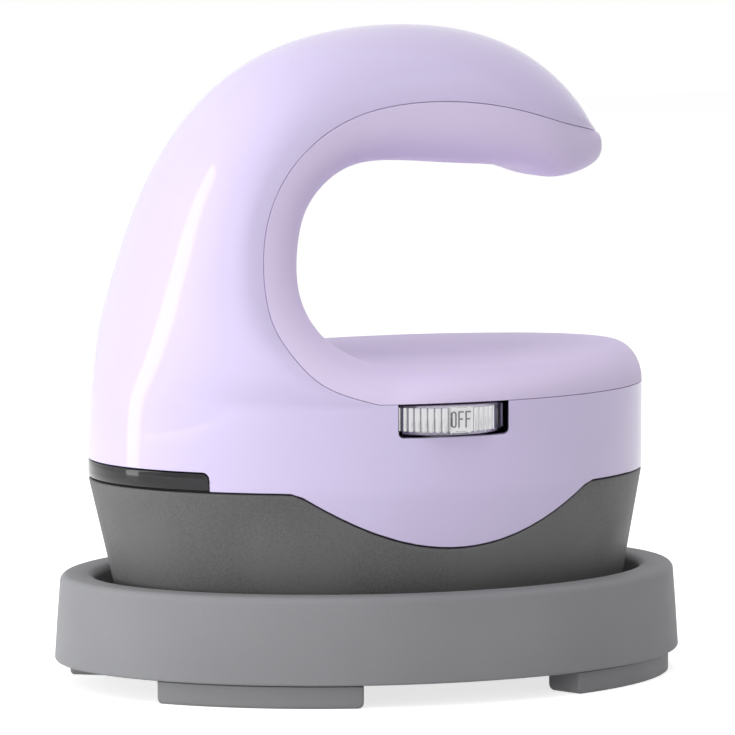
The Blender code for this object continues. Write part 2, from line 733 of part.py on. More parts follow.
def add_tray(materials):
    """Oval tray: one moulding with a raised rim and a flat floor."""
    floor_top = TRAY_BOTTOM + TRAY_FLOOR
    rings = []

    def ring(inset, height):
        rings.append(oval_ring(TRAY_HALF_LENGTH - inset, TRAY_HALF_WIDTH - inset, height))

    for step in range(ARC_STEPS + 1):
        turn = math.pi / 2 * step / ARC_STEPS
        ring(TRAY_LOWER_ROUND * (1 - math.sin(turn)), TRAY_BOTTOM + TRAY_LOWER_ROUND * (1 - math.cos(turn)))
    for step in range(ARC_STEPS + 1):
        turn = math.pi / 2 * step / ARC_STEPS
        inset = TRAY_DRAFT + TRAY_OUTER_FILLET * (1 - math.cos(turn))
        ring(inset, TRAY_TOP - TRAY_OUTER_FILLET * (1 - math.sin(turn)))
    for step in range(ARC_STEPS + 1):
        turn = math.pi / 2 * step / ARC_STEPS
        inset = TRAY_RIM_WIDTH - TRAY_INNER_ROUND * (1 - math.sin(turn))
        ring(inset, TRAY_TOP - TRAY_INNER_ROUND * (1 - math.cos(turn)))
    ring(TRAY_RIM_WIDTH + TRAY_INNER_DRAFT, floor_top)
    tray = add_object("safety_tray", ring_solid(rings), materials["tray"])
    holes = []
    for middle in FOOT_ANGLES.values():
        holes.extend(stud_places(middle))
    hole_top = TRAY_BOTTOM + STUD_HEIGHT + CLEARANCE
    cutter = rods(holes, STUD_RADIUS + CLEARANCE, TRAY_BOTTOM - CUT_OVERRUN, hole_top)
    combine(tray, tool_from(cutter, materials["tray"]), "DIFFERENCE")


def stud_places(middle):
    """The two studs of the foot that is centred on a direction."""
    inset = FOOT_INSET + FOOT_WIDTH / 2
    half_length, half_width = TRAY_HALF_LENGTH - inset, TRAY_HALF_WIDTH - inset
    return [oval_point(half_length, half_width, middle + side * STUD_ANGLE) for side in (-1, 1)]


def add_foot(name, middle, material):
    """A block that follows the tray's outline, with two studs that press into the tray."""
    top = TRAY_BOTTOM - CLEARANCE
    rings = []
    for step in range(FOOT_STEPS + 1):
        angle = middle + FOOT_HALF_ANGLE * (2 * step / FOOT_STEPS - 1)
        section = []
        outer, inner = FOOT_INSET, FOOT_INSET + FOOT_WIDTH
        corners = [(inner, top), (outer, top), (outer, FOOT_ROUND)]
        corners += [(outer + FOOT_ROUND * ARC_INSET_SHARE, FOOT_ROUND * ARC_INSET_SHARE)]
        corners += [(outer + FOOT_ROUND, 0.0)]
        corners += [(inner - FOOT_ROUND, 0.0), (inner, FOOT_ROUND)]
        for inset, height in corners:
            x, y = oval_point(TRAY_HALF_LENGTH - inset, TRAY_HALF_WIDTH - inset, angle)
            section.append((x, y, height))
        rings.append(section)
    foot = add_object(name, ring_solid(rings), material)
    studs = rods(stud_places(middle), STUD_RADIUS, top - CUT_OVERRUN, TRAY_BOTTOM + STUD_HEIGHT)
    combine(foot, tool_from(studs, material), "UNION")


def add_liner(materials):
    """Silicone sheet that lies on the tray's floor."""
    inset = TRAY_RIM_WIDTH + TRAY_INNER_DRAFT + LINER_INSET
    bm = oval_plate(TRAY_HALF_LENGTH - inset, TRAY_HALF_WIDTH - inset, LINER_BOTTOM,
                    LINER_BOTTOM + LINER_THICKNESS)
    add_object("tray_liner", bm, materials["silicone"])


def lead_places():
    """Where the two heater leads run."""
    return [(LEAD_X, LEAD_Y), (LEAD_X, -LEAD_Y)]


def add_hot_stack(materials):
    """Soleplate, heater, clamp sheet, blanket and heat shield, from below."""
    posts = plate_post_places()
    bm = oval_plate(PLATE_HALF_LENGTH, PLATE_HALF_WIDTH, PLATE_BOTTOM, PLATE_TOP, PLATE_ROUND)
    plate = add_object("heating_plate", bm, materials["plate"])
    bore = SCREW_RADIUS + SCREW_CLEARANCE
    cutter = rods(posts, bore, PLATE_TOP - PLATE_HOLE_DEPTH, PLATE_TOP + CUT_OVERRUN)
    combine(plate, tool_from(cutter, materials["plate"]), "DIFFERENCE")

    half_length, half_width = PLATE_HALF_LENGTH - STACK_INSET, PLATE_HALF_WIDTH - STACK_INSET
    layers = (
        ("heater_sheet", HEATER_BOTTOM, HEATER_THICKNESS, "mica"),
        ("clamp_plate", CLAMP_BOTTOM, CLAMP_THICKNESS, "steel"),
        ("insulation_pad", PAD_BOTTOM, PAD_THICKNESS, "blanket"),
        ("heat_shield", SHIELD_BOTTOM, SHIELD_THICKNESS, "steel"),
    )
    for name, bottom, thickness, finish in layers:
        bm = oval_plate(half_length, half_width, bottom, bottom + thickness)
        sheet = add_object(name, bm, materials[finish])
        low, high = bottom - CUT_OVERRUN, bottom + thickness + CUT_OVERRUN
        cutters = [rods(posts, POST_RADIUS + CLEARANCE, low, high)]
        if name != "heater_sheet":
            cutters.append(rods(lead_places(), LEAD_HOLE_RADIUS, low, high))
        if name == "insulation_pad":
            window = (PAD_WINDOW_LENGTH, PAD_WINDOW_WIDTH, high - low)
            cutters.append(block(window, (0.0, 0.0), low))
        combine(sheet, tool_from(several(cutters), materials[finish]), "DIFFERENCE")


def lying_can(radius, length, x, y, height, sides):
    """A small can lying along X."""
    rings = []
    half = length / 2
    rounding = radius * SENSOR_ROUND_SHARE
    for place, size in ((-half, radius - rounding), (-half + rounding, radius),
                        (half - rounding, radius), (half, radius - rounding)):
        ring = [(x + place, y + size * math.cos(a), height + size * math.sin(a)) for a in full_turn(sides)]
        rings.append(ring)
    return ring_solid(rings)


def add_sensors(materials):
    """Thermal fuse and temperature probe on the clamp sheet, in the blanket's window."""
    fuse = lying_can(FUSE_RADIUS, FUSE_LENGTH, -SENSOR_OFFSET, 0.0,
                     CLAMP_TOP + CLEARANCE + FUSE_RADIUS, SCREW_SIDES)
    add_object("thermal_fuse", fuse, materials["steel"])
    probe = lying_can(PROBE_RADIUS, PROBE_LENGTH, SENSOR_OFFSET, 0.0,
                      CLAMP_TOP + CLEARANCE + PROBE_RADIUS, SCREW_SIDES)
    add_object("temperature_probe", probe, materials["glass_bead"])


def place_names(stem):
    """Names for four like pieces, one in each quarter."""
    names = []
    for sx, sy in CORNERS:
        names.append(stem + ("_front" if sx > 0 else "_rear") + ("_far" if sy > 0 else "_near"))
    return names


def add_plate_posts(materials):
    """Spacers that hold the soleplate away from the skirt, and their screws."""
    bottom = HEATER_BOTTOM
    top = WEB_BOTTOM - CLEARANCE
    bore = SCREW_RADIUS + SCREW_CLEARANCE
    for name, (x, y) in zip(place_names("plate_post"), plate_post_places()):
        bm = bmesh.new()
        profile = [(bore, bottom), (POST_RADIUS, bottom), (POST_RADIUS, top), (bore, top)]
        rings = [[bm.verts.new(p) for p in turned_ring(r, h, x, y, SCREW_SIDES)] for r, h in profile]
        join_rings(bm, rings + [rings[0]])
        add_object(name, bm, materials["ceramic"])
    seat = WEB_TOP + CLEARANCE
    length = seat - PLATE_TOP + PLATE_SCREW_ENGAGEMENT
    for name, (x, y) in zip(place_names("plate_screw"), plate_post_places()):
        add_screw(name, materials["screw"], x, y, seat, length)


def add_skirt(materials):
    """Dark skirt: tapered wall with a wavy top edge, a floor web, bosses and a register tongue."""
    angles = full_turn(OVAL_STEPS)
    tongue_outer = SHELL_WALL + CLEARANCE
    tongue_inner = tongue_outer + TONGUE_WALL

    def level(inset, height):
        return [skin_point(angle, height, inset) for angle in angles]

    def under_edge(inset, lift):
        return [bowl_edge(angle, inset, WAVE_GAP - lift) for angle in angles]

    lower, upper = level(0.0, SKIRT_BOTTOM + SKIRT_EDGE_ROUND), under_edge(0.0, 0.0)
    middle = [
        skin_point(angle, (low.z + high.z) / 2, 0.0) for angle, low, high in zip(angles, lower, upper)
    ]
    rings = [
        level(SKIRT_WALL, WEB_BOTTOM),
        level(SKIRT_WALL, SKIRT_BOTTOM),
        level(SKIRT_EDGE_ROUND, SKIRT_BOTTOM),
        lower,
        middle,
        upper,
        under_edge(tongue_outer, 0.0),
        under_edge(tongue_outer, TONGUE_RISE),
        under_edge(tongue_inner, TONGUE_RISE),
        level(tongue_inner, WEB_TOP),
    ]
    skirt = add_object("base_housing", ring_solid(rings), materials["skirt"])
    bosses = board_boss_places()
    addition = rods(bosses, BOARD_BOSS_RADIUS, WEB_TOP - CUT_OVERRUN, BOARD_BOTTOM - CLEARANCE)
    combine(skirt, tool_from(addition, materials["skirt"]), "UNION")
    low, high = WEB_BOTTOM - CUT_OVERRUN, WEB_TOP + CUT_OVERRUN
    holes = [
        rods(plate_post_places(), SCREW_RADIUS + SCREW_CLEARANCE, low, high),
        rods(body_post_places(), SCREW_RADIUS + SCREW_CLEARANCE, low, high),
        rods(lead_places(), LEAD_HOLE_RADIUS, low, high),
        rods(bosses, SCREW_RADIUS + SCREW_CLEARANCE, WEB_TOP, BOARD_BOTTOM + CUT_OVERRUN),
    ]
    combine(skirt, tool_from(several(holes), materials["skirt"]), "DIFFERENCE")


def add_body_screws(materials):
    """Screws that draw the skirt up against the shell's and the cover's posts."""
    seat = WEB_BOTTOM - CLEARANCE
    places = body_post_places()
    for name, (x, y) in zip(place_names("body_screw"), places):
        add_screw(name, materials["screw"], x, y, seat, BODY_SCREW_LENGTH, upward=True)


def bore_out_posts(piece, places, material):
    """Bore the two posts at one end of the body for their screws."""
    top = WEB_BOTTOM + BODY_SCREW_LENGTH + CUT_OVERRUN
    cutter = rods(places, SCREW_RADIUS + SCREW_CLEARANCE, WEB_TOP, top)
    combine(piece, tool_from(cutter, material), "DIFFERENCE")


def lens_band(inner_inset, outer_inset, bottom, top, half_angle):
    """A band round the rear of the body with rounded upper corners."""
    end_bend = oval_bend_radius(BODY_HALF_LENGTH, BODY_HALF_WIDTH, math.pi - half_angle)
    stops = []
    for step in range(ARC_STEPS + 2):
        turn = math.pi / 2 * step / (ARC_STEPS + 1)
        run = LENS_CORNER * (1 - math.cos(turn))
        stops.append((run / end_bend, top - LENS_CORNER * (1 - math.sin(turn))))
    span = half_angle - stops[-1][0]
    left = [(half_angle - a, h) for a, h in stops]
    between = [(span * (1 - 2 * i / LENS_STEPS), top) for i in range(1, LENS_STEPS)]
    right = [(-a, h) for a, h in reversed(left)]
    rings = []
    for offset, height in left + between + right:
        angle = math.pi + offset
        corners = ((outer_inset, bottom), (outer_inset, height), (inner_inset, height), (inner_inset, bottom))
        rings.append([skin_point(angle, level, inset) for inset, level in corners])
    return ring_solid(rings)


def add_shell(materials):
    """Lavender hood: body wall, back of the handle and grip top in one moulding."""
    material = materials["shell"]
    handle = Handle()
    bm = bmesh.new()
    outer_edge, outer_seam = shell_skin(bm, handle, 0.0)
    inner_edge, inner_seam = shell_skin(bm, handle, SHELL_WALL)
    bridge_loops(bm, outer_edge, inner_edge)
    bridge_loops(bm, outer_seam, inner_seam, closed=False)
    shell = add_object("outer_shell", bm, material)

    posts = [place for place in body_post_places() if place[0] < 0]
    pillars = rods(posts, BODY_POST_RADIUS, WEB_TOP + CLEARANCE, REAR_POST_TOP, ROUND_SIDES)
    combine(shell, tool_from(pillars, material), "UNION")
    combine(shell, tool_from(several(rear_ribs(posts)), material), "UNION")
    bore_out_posts(shell, posts, material)

    window_bottom = WAVE_TOP - CUT_OVERRUN
    band = lens_band(SHELL_WALL + CUT_OVERRUN, -CUT_OVERRUN, window_bottom, WINDOW_TOP, LENS_HALF_ANGLE)
    combine(shell, tool_from(band, material), "DIFFERENCE")
    combine(shell, tool_from(slot_cutter(), material), "DIFFERENCE")
    hole = across_rod(GLAND_BARREL_RADIUS + CLEARANCE, BODY_HALF_WIDTH / 2, BODY_HALF_WIDTH + CUT_OVERRUN)
    combine(shell, tool_from(hole, material), "DIFFERENCE")


def rear_ribs(posts):
    """Ribs that tie the rear posts to the shell's rear wall."""
    ribs = []
    for x, y in posts:
        across = y / (BODY_HALF_WIDTH - SHELL_WALL / 2)
        wall_x = -(BODY_HALF_LENGTH - SHELL_WALL / 2) * math.sqrt(1 - across * across)
        size = (x - wall_x, REAR_RIB_WIDTH, REAR_RIB_HEIGHT - CUT_OVERRUN)
        ribs.append(block(size, ((x + wall_x) / 2, y), REAR_POST_TOP - REAR_RIB_HEIGHT))
    return ribs


def slot_cutter():
    """The dial's slot: open at the seam, with rounded lower corners."""
    outline = [(SLOT_HALF_WIDTH, SEAM_HEIGHT + CUT_OVERRUN), (-SLOT_HALF_WIDTH, SEAM_HEIGHT + CUT_OVERRUN)]
    for side in (-1, 1):
        for step in range(ARC_STEPS + 1):
            turn = math.pi / 2 * (step if side < 0 else ARC_STEPS - step) / ARC_STEPS
            run = SLOT_HALF_WIDTH - SLOT_CORNER * (1 - math.cos(turn))
            outline.append((side * run, SLOT_BOTTOM + SLOT_CORNER * (1 - math.sin(turn))))
    rings = []
    for y in (-BODY_HALF_WIDTH - CUT_OVERRUN, -BODY_HALF_WIDTH + 2 * SHELL_WALL):
        rings.append([(DIAL_X + x, y, z) for x, z in outline])
    return ring_solid(rings)


def across_rod(radius, near, far):
    """A rod along Y at the gland's place."""
    rings = []
    for y in (near, far):
        rings.append([
            (GLAND_X + radius * math.cos(a), y, GLAND_HEIGHT + radius * math.sin(a))
            for a in full_turn(ROUND_SIDES)
        ])
    return ring_solid(rings)


def cover_row(station, direction, upright, inset):
    """One row of the cover from the far seam round its inner side to the near seam.

    direction points outward in plan at the far seam and is mirrored for the near one. upright is 1 on the
    deck, where the wall is measured straight up, and fades to 0 along the handle.
    """
    seam, palm, half, corner, power = station
    depth = (palm - seam).length
    toward = (palm - seam) / depth if depth > 0 else Vector((0.0, 0.0))
    base = seam + toward * SEAM_GAP
    if upright == 0 and min(depth, half) - inset < CLEARANCE:
        return [Vector((base.x, 0.0, base.y))] * (2 * CORNER_STEPS + 3)
    slant = 1 + (1 / toward.y - 1) * upright if upright > 0 else 1
    reach = depth - SEAM_GAP - inset * slant
    width = corner - inset / 2
    far = []
    for step in range(CORNER_STEPS + 1):
        turn = math.pi / 2 * step / CORNER_STEPS
        inward = inset + width * (1 - math.cos(turn) ** (2 / power))
        rise = reach * math.sin(turn) ** (2 / power)
        far.append(Vector((
            base.x + toward.x * rise - direction.x * inward,
            half - direction.y * inward,
            base.y + toward.y * rise,
        )))
    near = [Vector((point.x, -point.y, point.z)) for point in reversed(far)]
    middle = (far[-1] + near[0]) / 2
    return far + [middle] + near


def deck_station(angle, handle):
    """Seam and deck points, half width and corner of a deck row. Towards the handle the rows lean forward."""
    x, y = oval_point(BODY_HALF_LENGTH, BODY_HALF_WIDTH, angle)
    x = trimmed(x)
    share = max((angle / TURN_ANGLE - ROW_LEAN_START_SHARE) / (1 - ROW_LEAN_START_SHARE), 0.0)
    lean = (handle.palm[0].x - handle.seam[0].x) * share * share * (3 - 2 * share)
    seam, palm = Vector((x, SEAM_HEIGHT)), Vector((x + lean, deck_height(x + lean)))
    fillet = DECK_FILLET + (DECK_FRONT_FILLET - DECK_FILLET) * max(math.cos(angle), 0.0) ** 2
    return seam, palm, max(y, 0.0), fillet, CORNER_POWERS[0]


def cover_skin(bm, handle, inset):
    """The cover's outer or inner skin, front to tip. Returns its two seam chains."""
    rows = []
    front_rows = FRONT_STEPS // 2
    for step in range(front_rows + 1):
        angle = TURN_ANGLE * step / front_rows
        direction = Vector((math.cos(angle), math.sin(angle)))
        rows.append(cover_row(deck_station(angle, handle), direction, 1.0, inset))
    for share in handle_shares():
        fade = max(1 - share / STATION_SHARES[2], 0.0)
        tilt = math.cos(TURN_ANGLE) * fade
        direction = Vector((tilt, math.sqrt(1 - tilt * tilt)))
        station = handle.at(share)[1:]
        row = cover_row(station, direction, fade, inset)
        rows.append([handle.rounded(point, station[0]) for point in row])
    made = [[bm.verts.new(point) for point in row] for row in rows]
    join_rings(bm, made, closed=False)
    return [row[0] for row in made], [row[-1] for row in made]


def add_cover(materials):
    """Lavender inner moulding: deck, inside of the C and underside of the grip."""
    material = materials["shell"]
    handle = Handle()
    bm = bmesh.new()
    outer_far, outer_near = cover_skin(bm, handle, 0.0)
    inner_far, inner_near = cover_skin(bm, handle, SHELL_WALL)
    bridge_loops(bm, outer_far, inner_far, closed=False)
    bridge_loops(bm, outer_near, inner_near, closed=False)
    cover = add_object("inner_cover", bm, material)
    posts = [place for place in body_post_places() if place[0] > 0]
    top = deck_height(posts[0][0]) - SHELL_WALL / 2
    addition = rods(posts, BODY_POST_RADIUS, WEB_TOP + CLEARANCE, top, ROUND_SIDES)
    combine(cover, tool_from(addition, material), "UNION")
    bore_out_posts(cover, posts, material)


def add_lens(materials):
    """Smoked window flush with the shell round its rear."""
    edge = oval_bend_radius(BODY_HALF_LENGTH, BODY_HALF_WIDTH, math.pi - LENS_HALF_ANGLE)
    half_angle = LENS_HALF_ANGLE - CLEARANCE / edge
    band = lens_band(SHELL_WALL, 0.0, WAVE_TOP, WINDOW_TOP - CLEARANCE, half_angle)
    add_object("indicator_lens", band, materials["smoke"])


def dial_radius_at(angle):
    """Radius of the dial's rim in a direction from its axis: flutes, and a flat panel at each setting."""
    half_panel = math.asin(DIAL_PANEL_WIDTH / 2 / DIAL_RADIUS)
    for setting in range(DIAL_SETTINGS):
        middle = -math.pi / 2 + setting * DIAL_STEP
        away = (angle - middle + math.pi) % (2 * math.pi) - math.pi
        if abs(away) <= half_panel:
            return (DIAL_RADIUS - DIAL_FLUTE_DEPTH) * math.cos(half_panel) / math.cos(away)
    return None


def add_dial(materials):
    """Knurled edge wheel with a hub, and the shaft that it turns on."""
    rim = []
    smooth = DIAL_RADIUS - DIAL_FLUTE_DEPTH
    for index in range(2 * DIAL_FLUTES):
        angle = math.pi * index / DIAL_FLUTES - math.pi / 2
        flat = dial_radius_at(angle)
        radius = flat if flat else (DIAL_RADIUS if index % 2 else smooth)
        rim.append((radius, angle))
    bore = SHAFT_RADIUS + CLEARANCE
    bm = bmesh.new()

    def ring(height, radius=None):
        points = []
        for rim_radius, angle in rim:
            r = radius if radius else rim_radius
            points.append(bm.verts.new((DIAL_X + r * math.cos(angle), DIAL_Y + r * math.sin(angle), height)))
        return points

    low, high = DIAL_BOTTOM, DIAL_TOP
    rings = [
        ring(low, smooth - DIAL_CHAMFER), ring(low + DIAL_CHAMFER), ring(high - DIAL_CHAMFER),
        ring(high, smooth - DIAL_CHAMFER),
    ]
    join_rings(bm, rings)
    bm.faces.new(reversed(rings[0]))
    bm.faces.new(rings[-1])
    wheel = add_object("dial_wheel", bm, materials["chrome"], (DIAL_X, DIAL_Y, DIAL_BOTTOM))
    hub = turned_solid([(DIAL_HUB_RADIUS, low - DIAL_HUB_DROP), (DIAL_HUB_RADIUS, low + CUT_OVERRUN)],
                       DIAL_X, DIAL_Y)
    combine(wheel, tool_from(hub, materials["chrome"]), "UNION")
    shaft_top = high - CUT_OVERRUN
    bore_cut = turned_solid([(bore, low - DIAL_HUB_DROP - CUT_OVERRUN), (bore, shaft_top + CLEARANCE)],
                            DIAL_X, DIAL_Y)
    combine(wheel, tool_from(bore_cut, materials["chrome"]), "DIFFERENCE")
    shaft_low = BOARD_TOP + CLEARANCE + SWITCH_FLOOR + CLEARANCE
    shaft = turned_solid([(SHAFT_RADIUS, shaft_low), (SHAFT_RADIUS, shaft_top)])
    bmesh.ops.translate(shaft, verts=shaft.verts, vec=(DIAL_X, DIAL_Y, 0.0))
    add_object("dial_shaft", shaft, materials["steel"], (DIAL_X, DIAL_Y, shaft_low))


def add_switch(materials):
    """Rotary switch on the board: round can, threaded collar, bore for the dial's shaft."""
    bottom = BOARD_TOP + CLEARANCE
    bore = SHAFT_RADIUS + CLEARANCE
    shoulder = SWITCH_TOP - SWITCH_COLLAR_HEIGHT
    bore_floor = bottom + SWITCH_FLOOR
    profile = [
        (SWITCH_RADIUS, bottom), (SWITCH_RADIUS, shoulder), (SWITCH_COLLAR_RADIUS, shoulder),
        (SWITCH_COLLAR_RADIUS, SWITCH_TOP), (bore, SWITCH_TOP), (bore, bore_floor),
    ]
    add_object("dial_switch", turned_solid(profile, DIAL_X, DIAL_Y), materials["black_plastic"])


def add_board(materials):
    """Oval control board, its screws and the parts soldered to it."""
    bm = oval_plate(BOARD_HALF_LENGTH, BOARD_HALF_WIDTH, BOARD_BOTTOM, BOARD_TOP)
    board = add_object("control_board", bm, materials["board"])
    bosses = board_boss_places()
    clamp_holes = clamp_screw_places()
    holes = rods(bosses + clamp_holes, SCREW_RADIUS + SCREW_CLEARANCE,
                 BOARD_BOTTOM - CUT_OVERRUN, BOARD_TOP + CUT_OVERRUN)
    lead_cut = rods(lead_places(), LEAD_HOLE_RADIUS, BOARD_BOTTOM - CUT_OVERRUN, BOARD_TOP + CUT_OVERRUN)
    combine(board, tool_from(several([holes, lead_cut]), materials["board"]), "DIFFERENCE")
    seat = BOARD_TOP + CLEARANCE
    for name, (x, y) in zip(place_names("board_screw"), bosses):
        add_screw(name, materials["screw"], x, y, seat, BOARD_SCREW_LENGTH)
    boxes = (
        ("relay", RELAY_SIZE, RELAY_PLACE, "blue_plastic"),
        ("power_supply", SUPPLY_SIZE, SUPPLY_PLACE, "yellow_tape"),
        ("terminal_block", TERMINAL_SIZE, TERMINAL_PLACE, "green_plastic"),
        ("motion_sensor", MOTION_SIZE, MOTION_PLACE, "black_plastic"),
    )
    for name, size, place, finish in boxes:
        add_object(name, block(size, place, seat), materials[finish])
    can = [
        (CAPACITOR_RADIUS, seat), (CAPACITOR_RADIUS, seat + CAPACITOR_HEIGHT - CAN_ROUND),
        (CAPACITOR_RADIUS - CAN_ROUND, seat + CAPACITOR_HEIGHT),
    ]
    add_object("capacitor", turned_solid(can, *CAPACITOR_PLACE), materials["black_plastic"])
    add_heat_sink(materials, seat)


def add_heat_sink(materials, seat):
    """Finned aluminium sink with the heater's triac moulded to it."""
    pitch = SINK_FIN + SINK_GAP
    width = SINK_FINS * pitch - SINK_GAP
    outline = [(0.0, 0.0)]
    for fin in range(SINK_FINS):
        start = fin * pitch
        outline += [(start, SINK_DEPTH), (start + SINK_FIN, SINK_DEPTH)]
        if fin < SINK_FINS - 1:
            outline += [(start + SINK_FIN, SINK_FIN), (start + pitch, SINK_FIN)]
    outline.append((width, 0.0))
    x0 = SINK_PLACE[0] - width / 2
    y0 = SINK_PLACE[1] - SINK_DEPTH / 2
    rings = [[(x0 + x, y0 + y, z) for x, y in outline] for z in (seat, seat + SINK_HEIGHT)]
    add_object("triac_heat_sink", ring_solid(rings), materials["steel"])


def clamp_screw_places():
    """The two screws of the cord clamp."""
    x, y = CORD_CLAMP_PLACE
    return [(x - CORD_CLAMP_SCREW_OFFSET, y), (x + CORD_CLAMP_SCREW_OFFSET, y)]


def add_cord_fittings(materials):
    """Round gland through the far wall and the clamp behind it. The gland is open for a cord."""
    far = BODY_HALF_WIDTH + CLEARANCE
    wall_inside = BODY_HALF_WIDTH - SHELL_WALL
    profile = [
        (GLAND_BORE_RADIUS, wall_inside - GLAND_INNER_LENGTH),
        (GLAND_BARREL_RADIUS, wall_inside - GLAND_INNER_LENGTH),
        (GLAND_BARREL_RADIUS, far),
        (GLAND_FLANGE_RADIUS, far),
        (GLAND_FLANGE_RADIUS, far + GLAND_FLANGE_THICKNESS),
        (GLAND_BARREL_RADIUS, far + GLAND_FLANGE_THICKNESS),
        (GLAND_BARREL_RADIUS, far + GLAND_COLLAR_LENGTH),
        (GLAND_BORE_RADIUS, far + GLAND_COLLAR_LENGTH),
    ]
    bm = bmesh.new()
    rings = []
    for radius, y in profile:
        rings.append([
            bm.verts.new((GLAND_X + radius * math.cos(a), y, GLAND_HEIGHT + radius * math.sin(a)))
            for a in full_turn(ROUND_SIDES)
        ])
    join_rings(bm, rings + [rings[0]])
    add_object("cord_gland", bm, materials["black_plastic"])

    seat = BOARD_TOP + CLEARANCE
    saddle = block(CORD_CLAMP_SIZE, CORD_CLAMP_PLACE, seat)
    clamp = add_object("cord_clamp", saddle, materials["black_plastic"])
    groove_rings = []
    for y in (-CORD_CLAMP_SIZE[1], CORD_CLAMP_SIZE[1]):
        groove_rings.append([
            (CORD_CLAMP_PLACE[0] + GLAND_BORE_RADIUS * math.cos(a), CORD_CLAMP_PLACE[1] + y,
             seat + GLAND_BORE_RADIUS * math.sin(a)) for a in full_turn(ROUND_SIDES)
        ])
    combine(clamp, tool_from(ring_solid(groove_rings), materials["black_plastic"]), "DIFFERENCE")
    top = seat + CORD_CLAMP_SIZE[2]
    holes = rods(clamp_screw_places(), SCREW_RADIUS + SCREW_CLEARANCE, seat - CUT_OVERRUN, top + CUT_OVERRUN)
    combine(clamp, tool_from(holes, materials["black_plastic"]), "DIFFERENCE")
    for name, (x, y) in zip(("clamp_screw_rear", "clamp_screw_front"), clamp_screw_places()):
        add_screw(name, materials["screw"], x, y, top + CLEARANCE, CLAMP_SCREW_LENGTH)


def add_lamps(materials):
    """Two lamps on a small upright board, on a bracket that stands on the skirt's web."""
    lamp_front = -(BODY_HALF_LENGTH - SHELL_WALL - LAMP_WINDOW_GAP)
    board_face = lamp_front + LAMP_LENGTH + CLEARANCE
    board_x = board_face + LAMP_BOARD_THICKNESS / 2
    board_bottom = LAMP_HEIGHT - LAMP_BOARD_HEIGHT / 2
    post_y = body_post_places()[0][1]
    half_bracket = post_y - BODY_POST_RADIUS - BRACKET_SIDE_GAP
    board_size = (LAMP_BOARD_THICKNESS, 2 * (half_bracket - LAMP_BOARD_MARGIN), LAMP_BOARD_HEIGHT)
    add_object("lamp_board", block(board_size, (board_x, 0.0), board_bottom), materials["board"])
    spread = half_bracket / 2
    for name, y, finish in (("lamp_heating", -spread, "red_lamp"), ("lamp_ready", spread, "green_lamp")):
        rings = []
        dome = LAMP_RADIUS * LAMP_DOME_SHARE
        for x, radius in ((lamp_front, LAMP_RADIUS - dome), (lamp_front + dome, LAMP_RADIUS),
                          (lamp_front + LAMP_LENGTH, LAMP_RADIUS)):
            rings.append([
                (x, y + radius * math.cos(a), LAMP_HEIGHT + radius * math.sin(a))
                for a in full_turn(SCREW_SIDES)
            ])
        add_object(name, ring_solid(rings), materials[finish])
    back = board_face + LAMP_BOARD_THICKNESS + CLEARANCE
    foot = WEB_TOP + CLEARANCE
    top = LAMP_HEIGHT + LAMP_BOARD_HEIGHT / 2
    outline = [
        (back, foot), (back + BRACKET_FOOT, foot), (back + BRACKET_FOOT, foot + BRACKET_THICKNESS),
        (back + BRACKET_THICKNESS, foot + BRACKET_THICKNESS), (back + BRACKET_THICKNESS, top), (back, top),
    ]
    rings = [[(x, y, z) for x, z in outline] for y in (-half_bracket, half_bracket)]
    add_object("lamp_bracket", ring_solid(rings), materials["steel"])


def add_leads(materials):
    """Heater leads: up from the heater through the web and the board, then over to the terminals."""
    start = HEATER_BOTTOM + HEATER_THICKNESS + CLEARANCE
    terminal_face = TERMINAL_PLACE[0] + TERMINAL_SIZE[0] / 2 + CLEARANCE
    level = BOARD_TOP + TERMINAL_SIZE[2] / 2
    for name, (x, y) in zip(("heater_lead_far", "heater_lead_near"), lead_places()):
        path = [Vector((x, y, start)), Vector((x, y, (start + level) / 2))]
        for step in range(ARC_STEPS + 2):
            turn = math.pi / 2 * step / (ARC_STEPS + 1)
            path.append(Vector((
                x - LEAD_BEND * (1 - math.cos(turn)), y, level - LEAD_BEND * (1 - math.sin(turn)),
            )))
        path.append(Vector((terminal_face, y, level)))
        rings = []
        for index, point in enumerate(path):
            ahead = path[min(index + 1, len(path) - 1)]
            behind = path[max(index - 1, 0)]
            along = (ahead - behind).normalized()
            side = Vector((0.0, 1.0, 0.0))
            other = along.cross(side)
            turns = full_turn(SCREW_SIDES)
            rings.append([point + LEAD_RADIUS * (side * math.cos(a) + other * math.sin(a)) for a in turns])
        add_object(name, ring_solid(rings), materials["lead"])


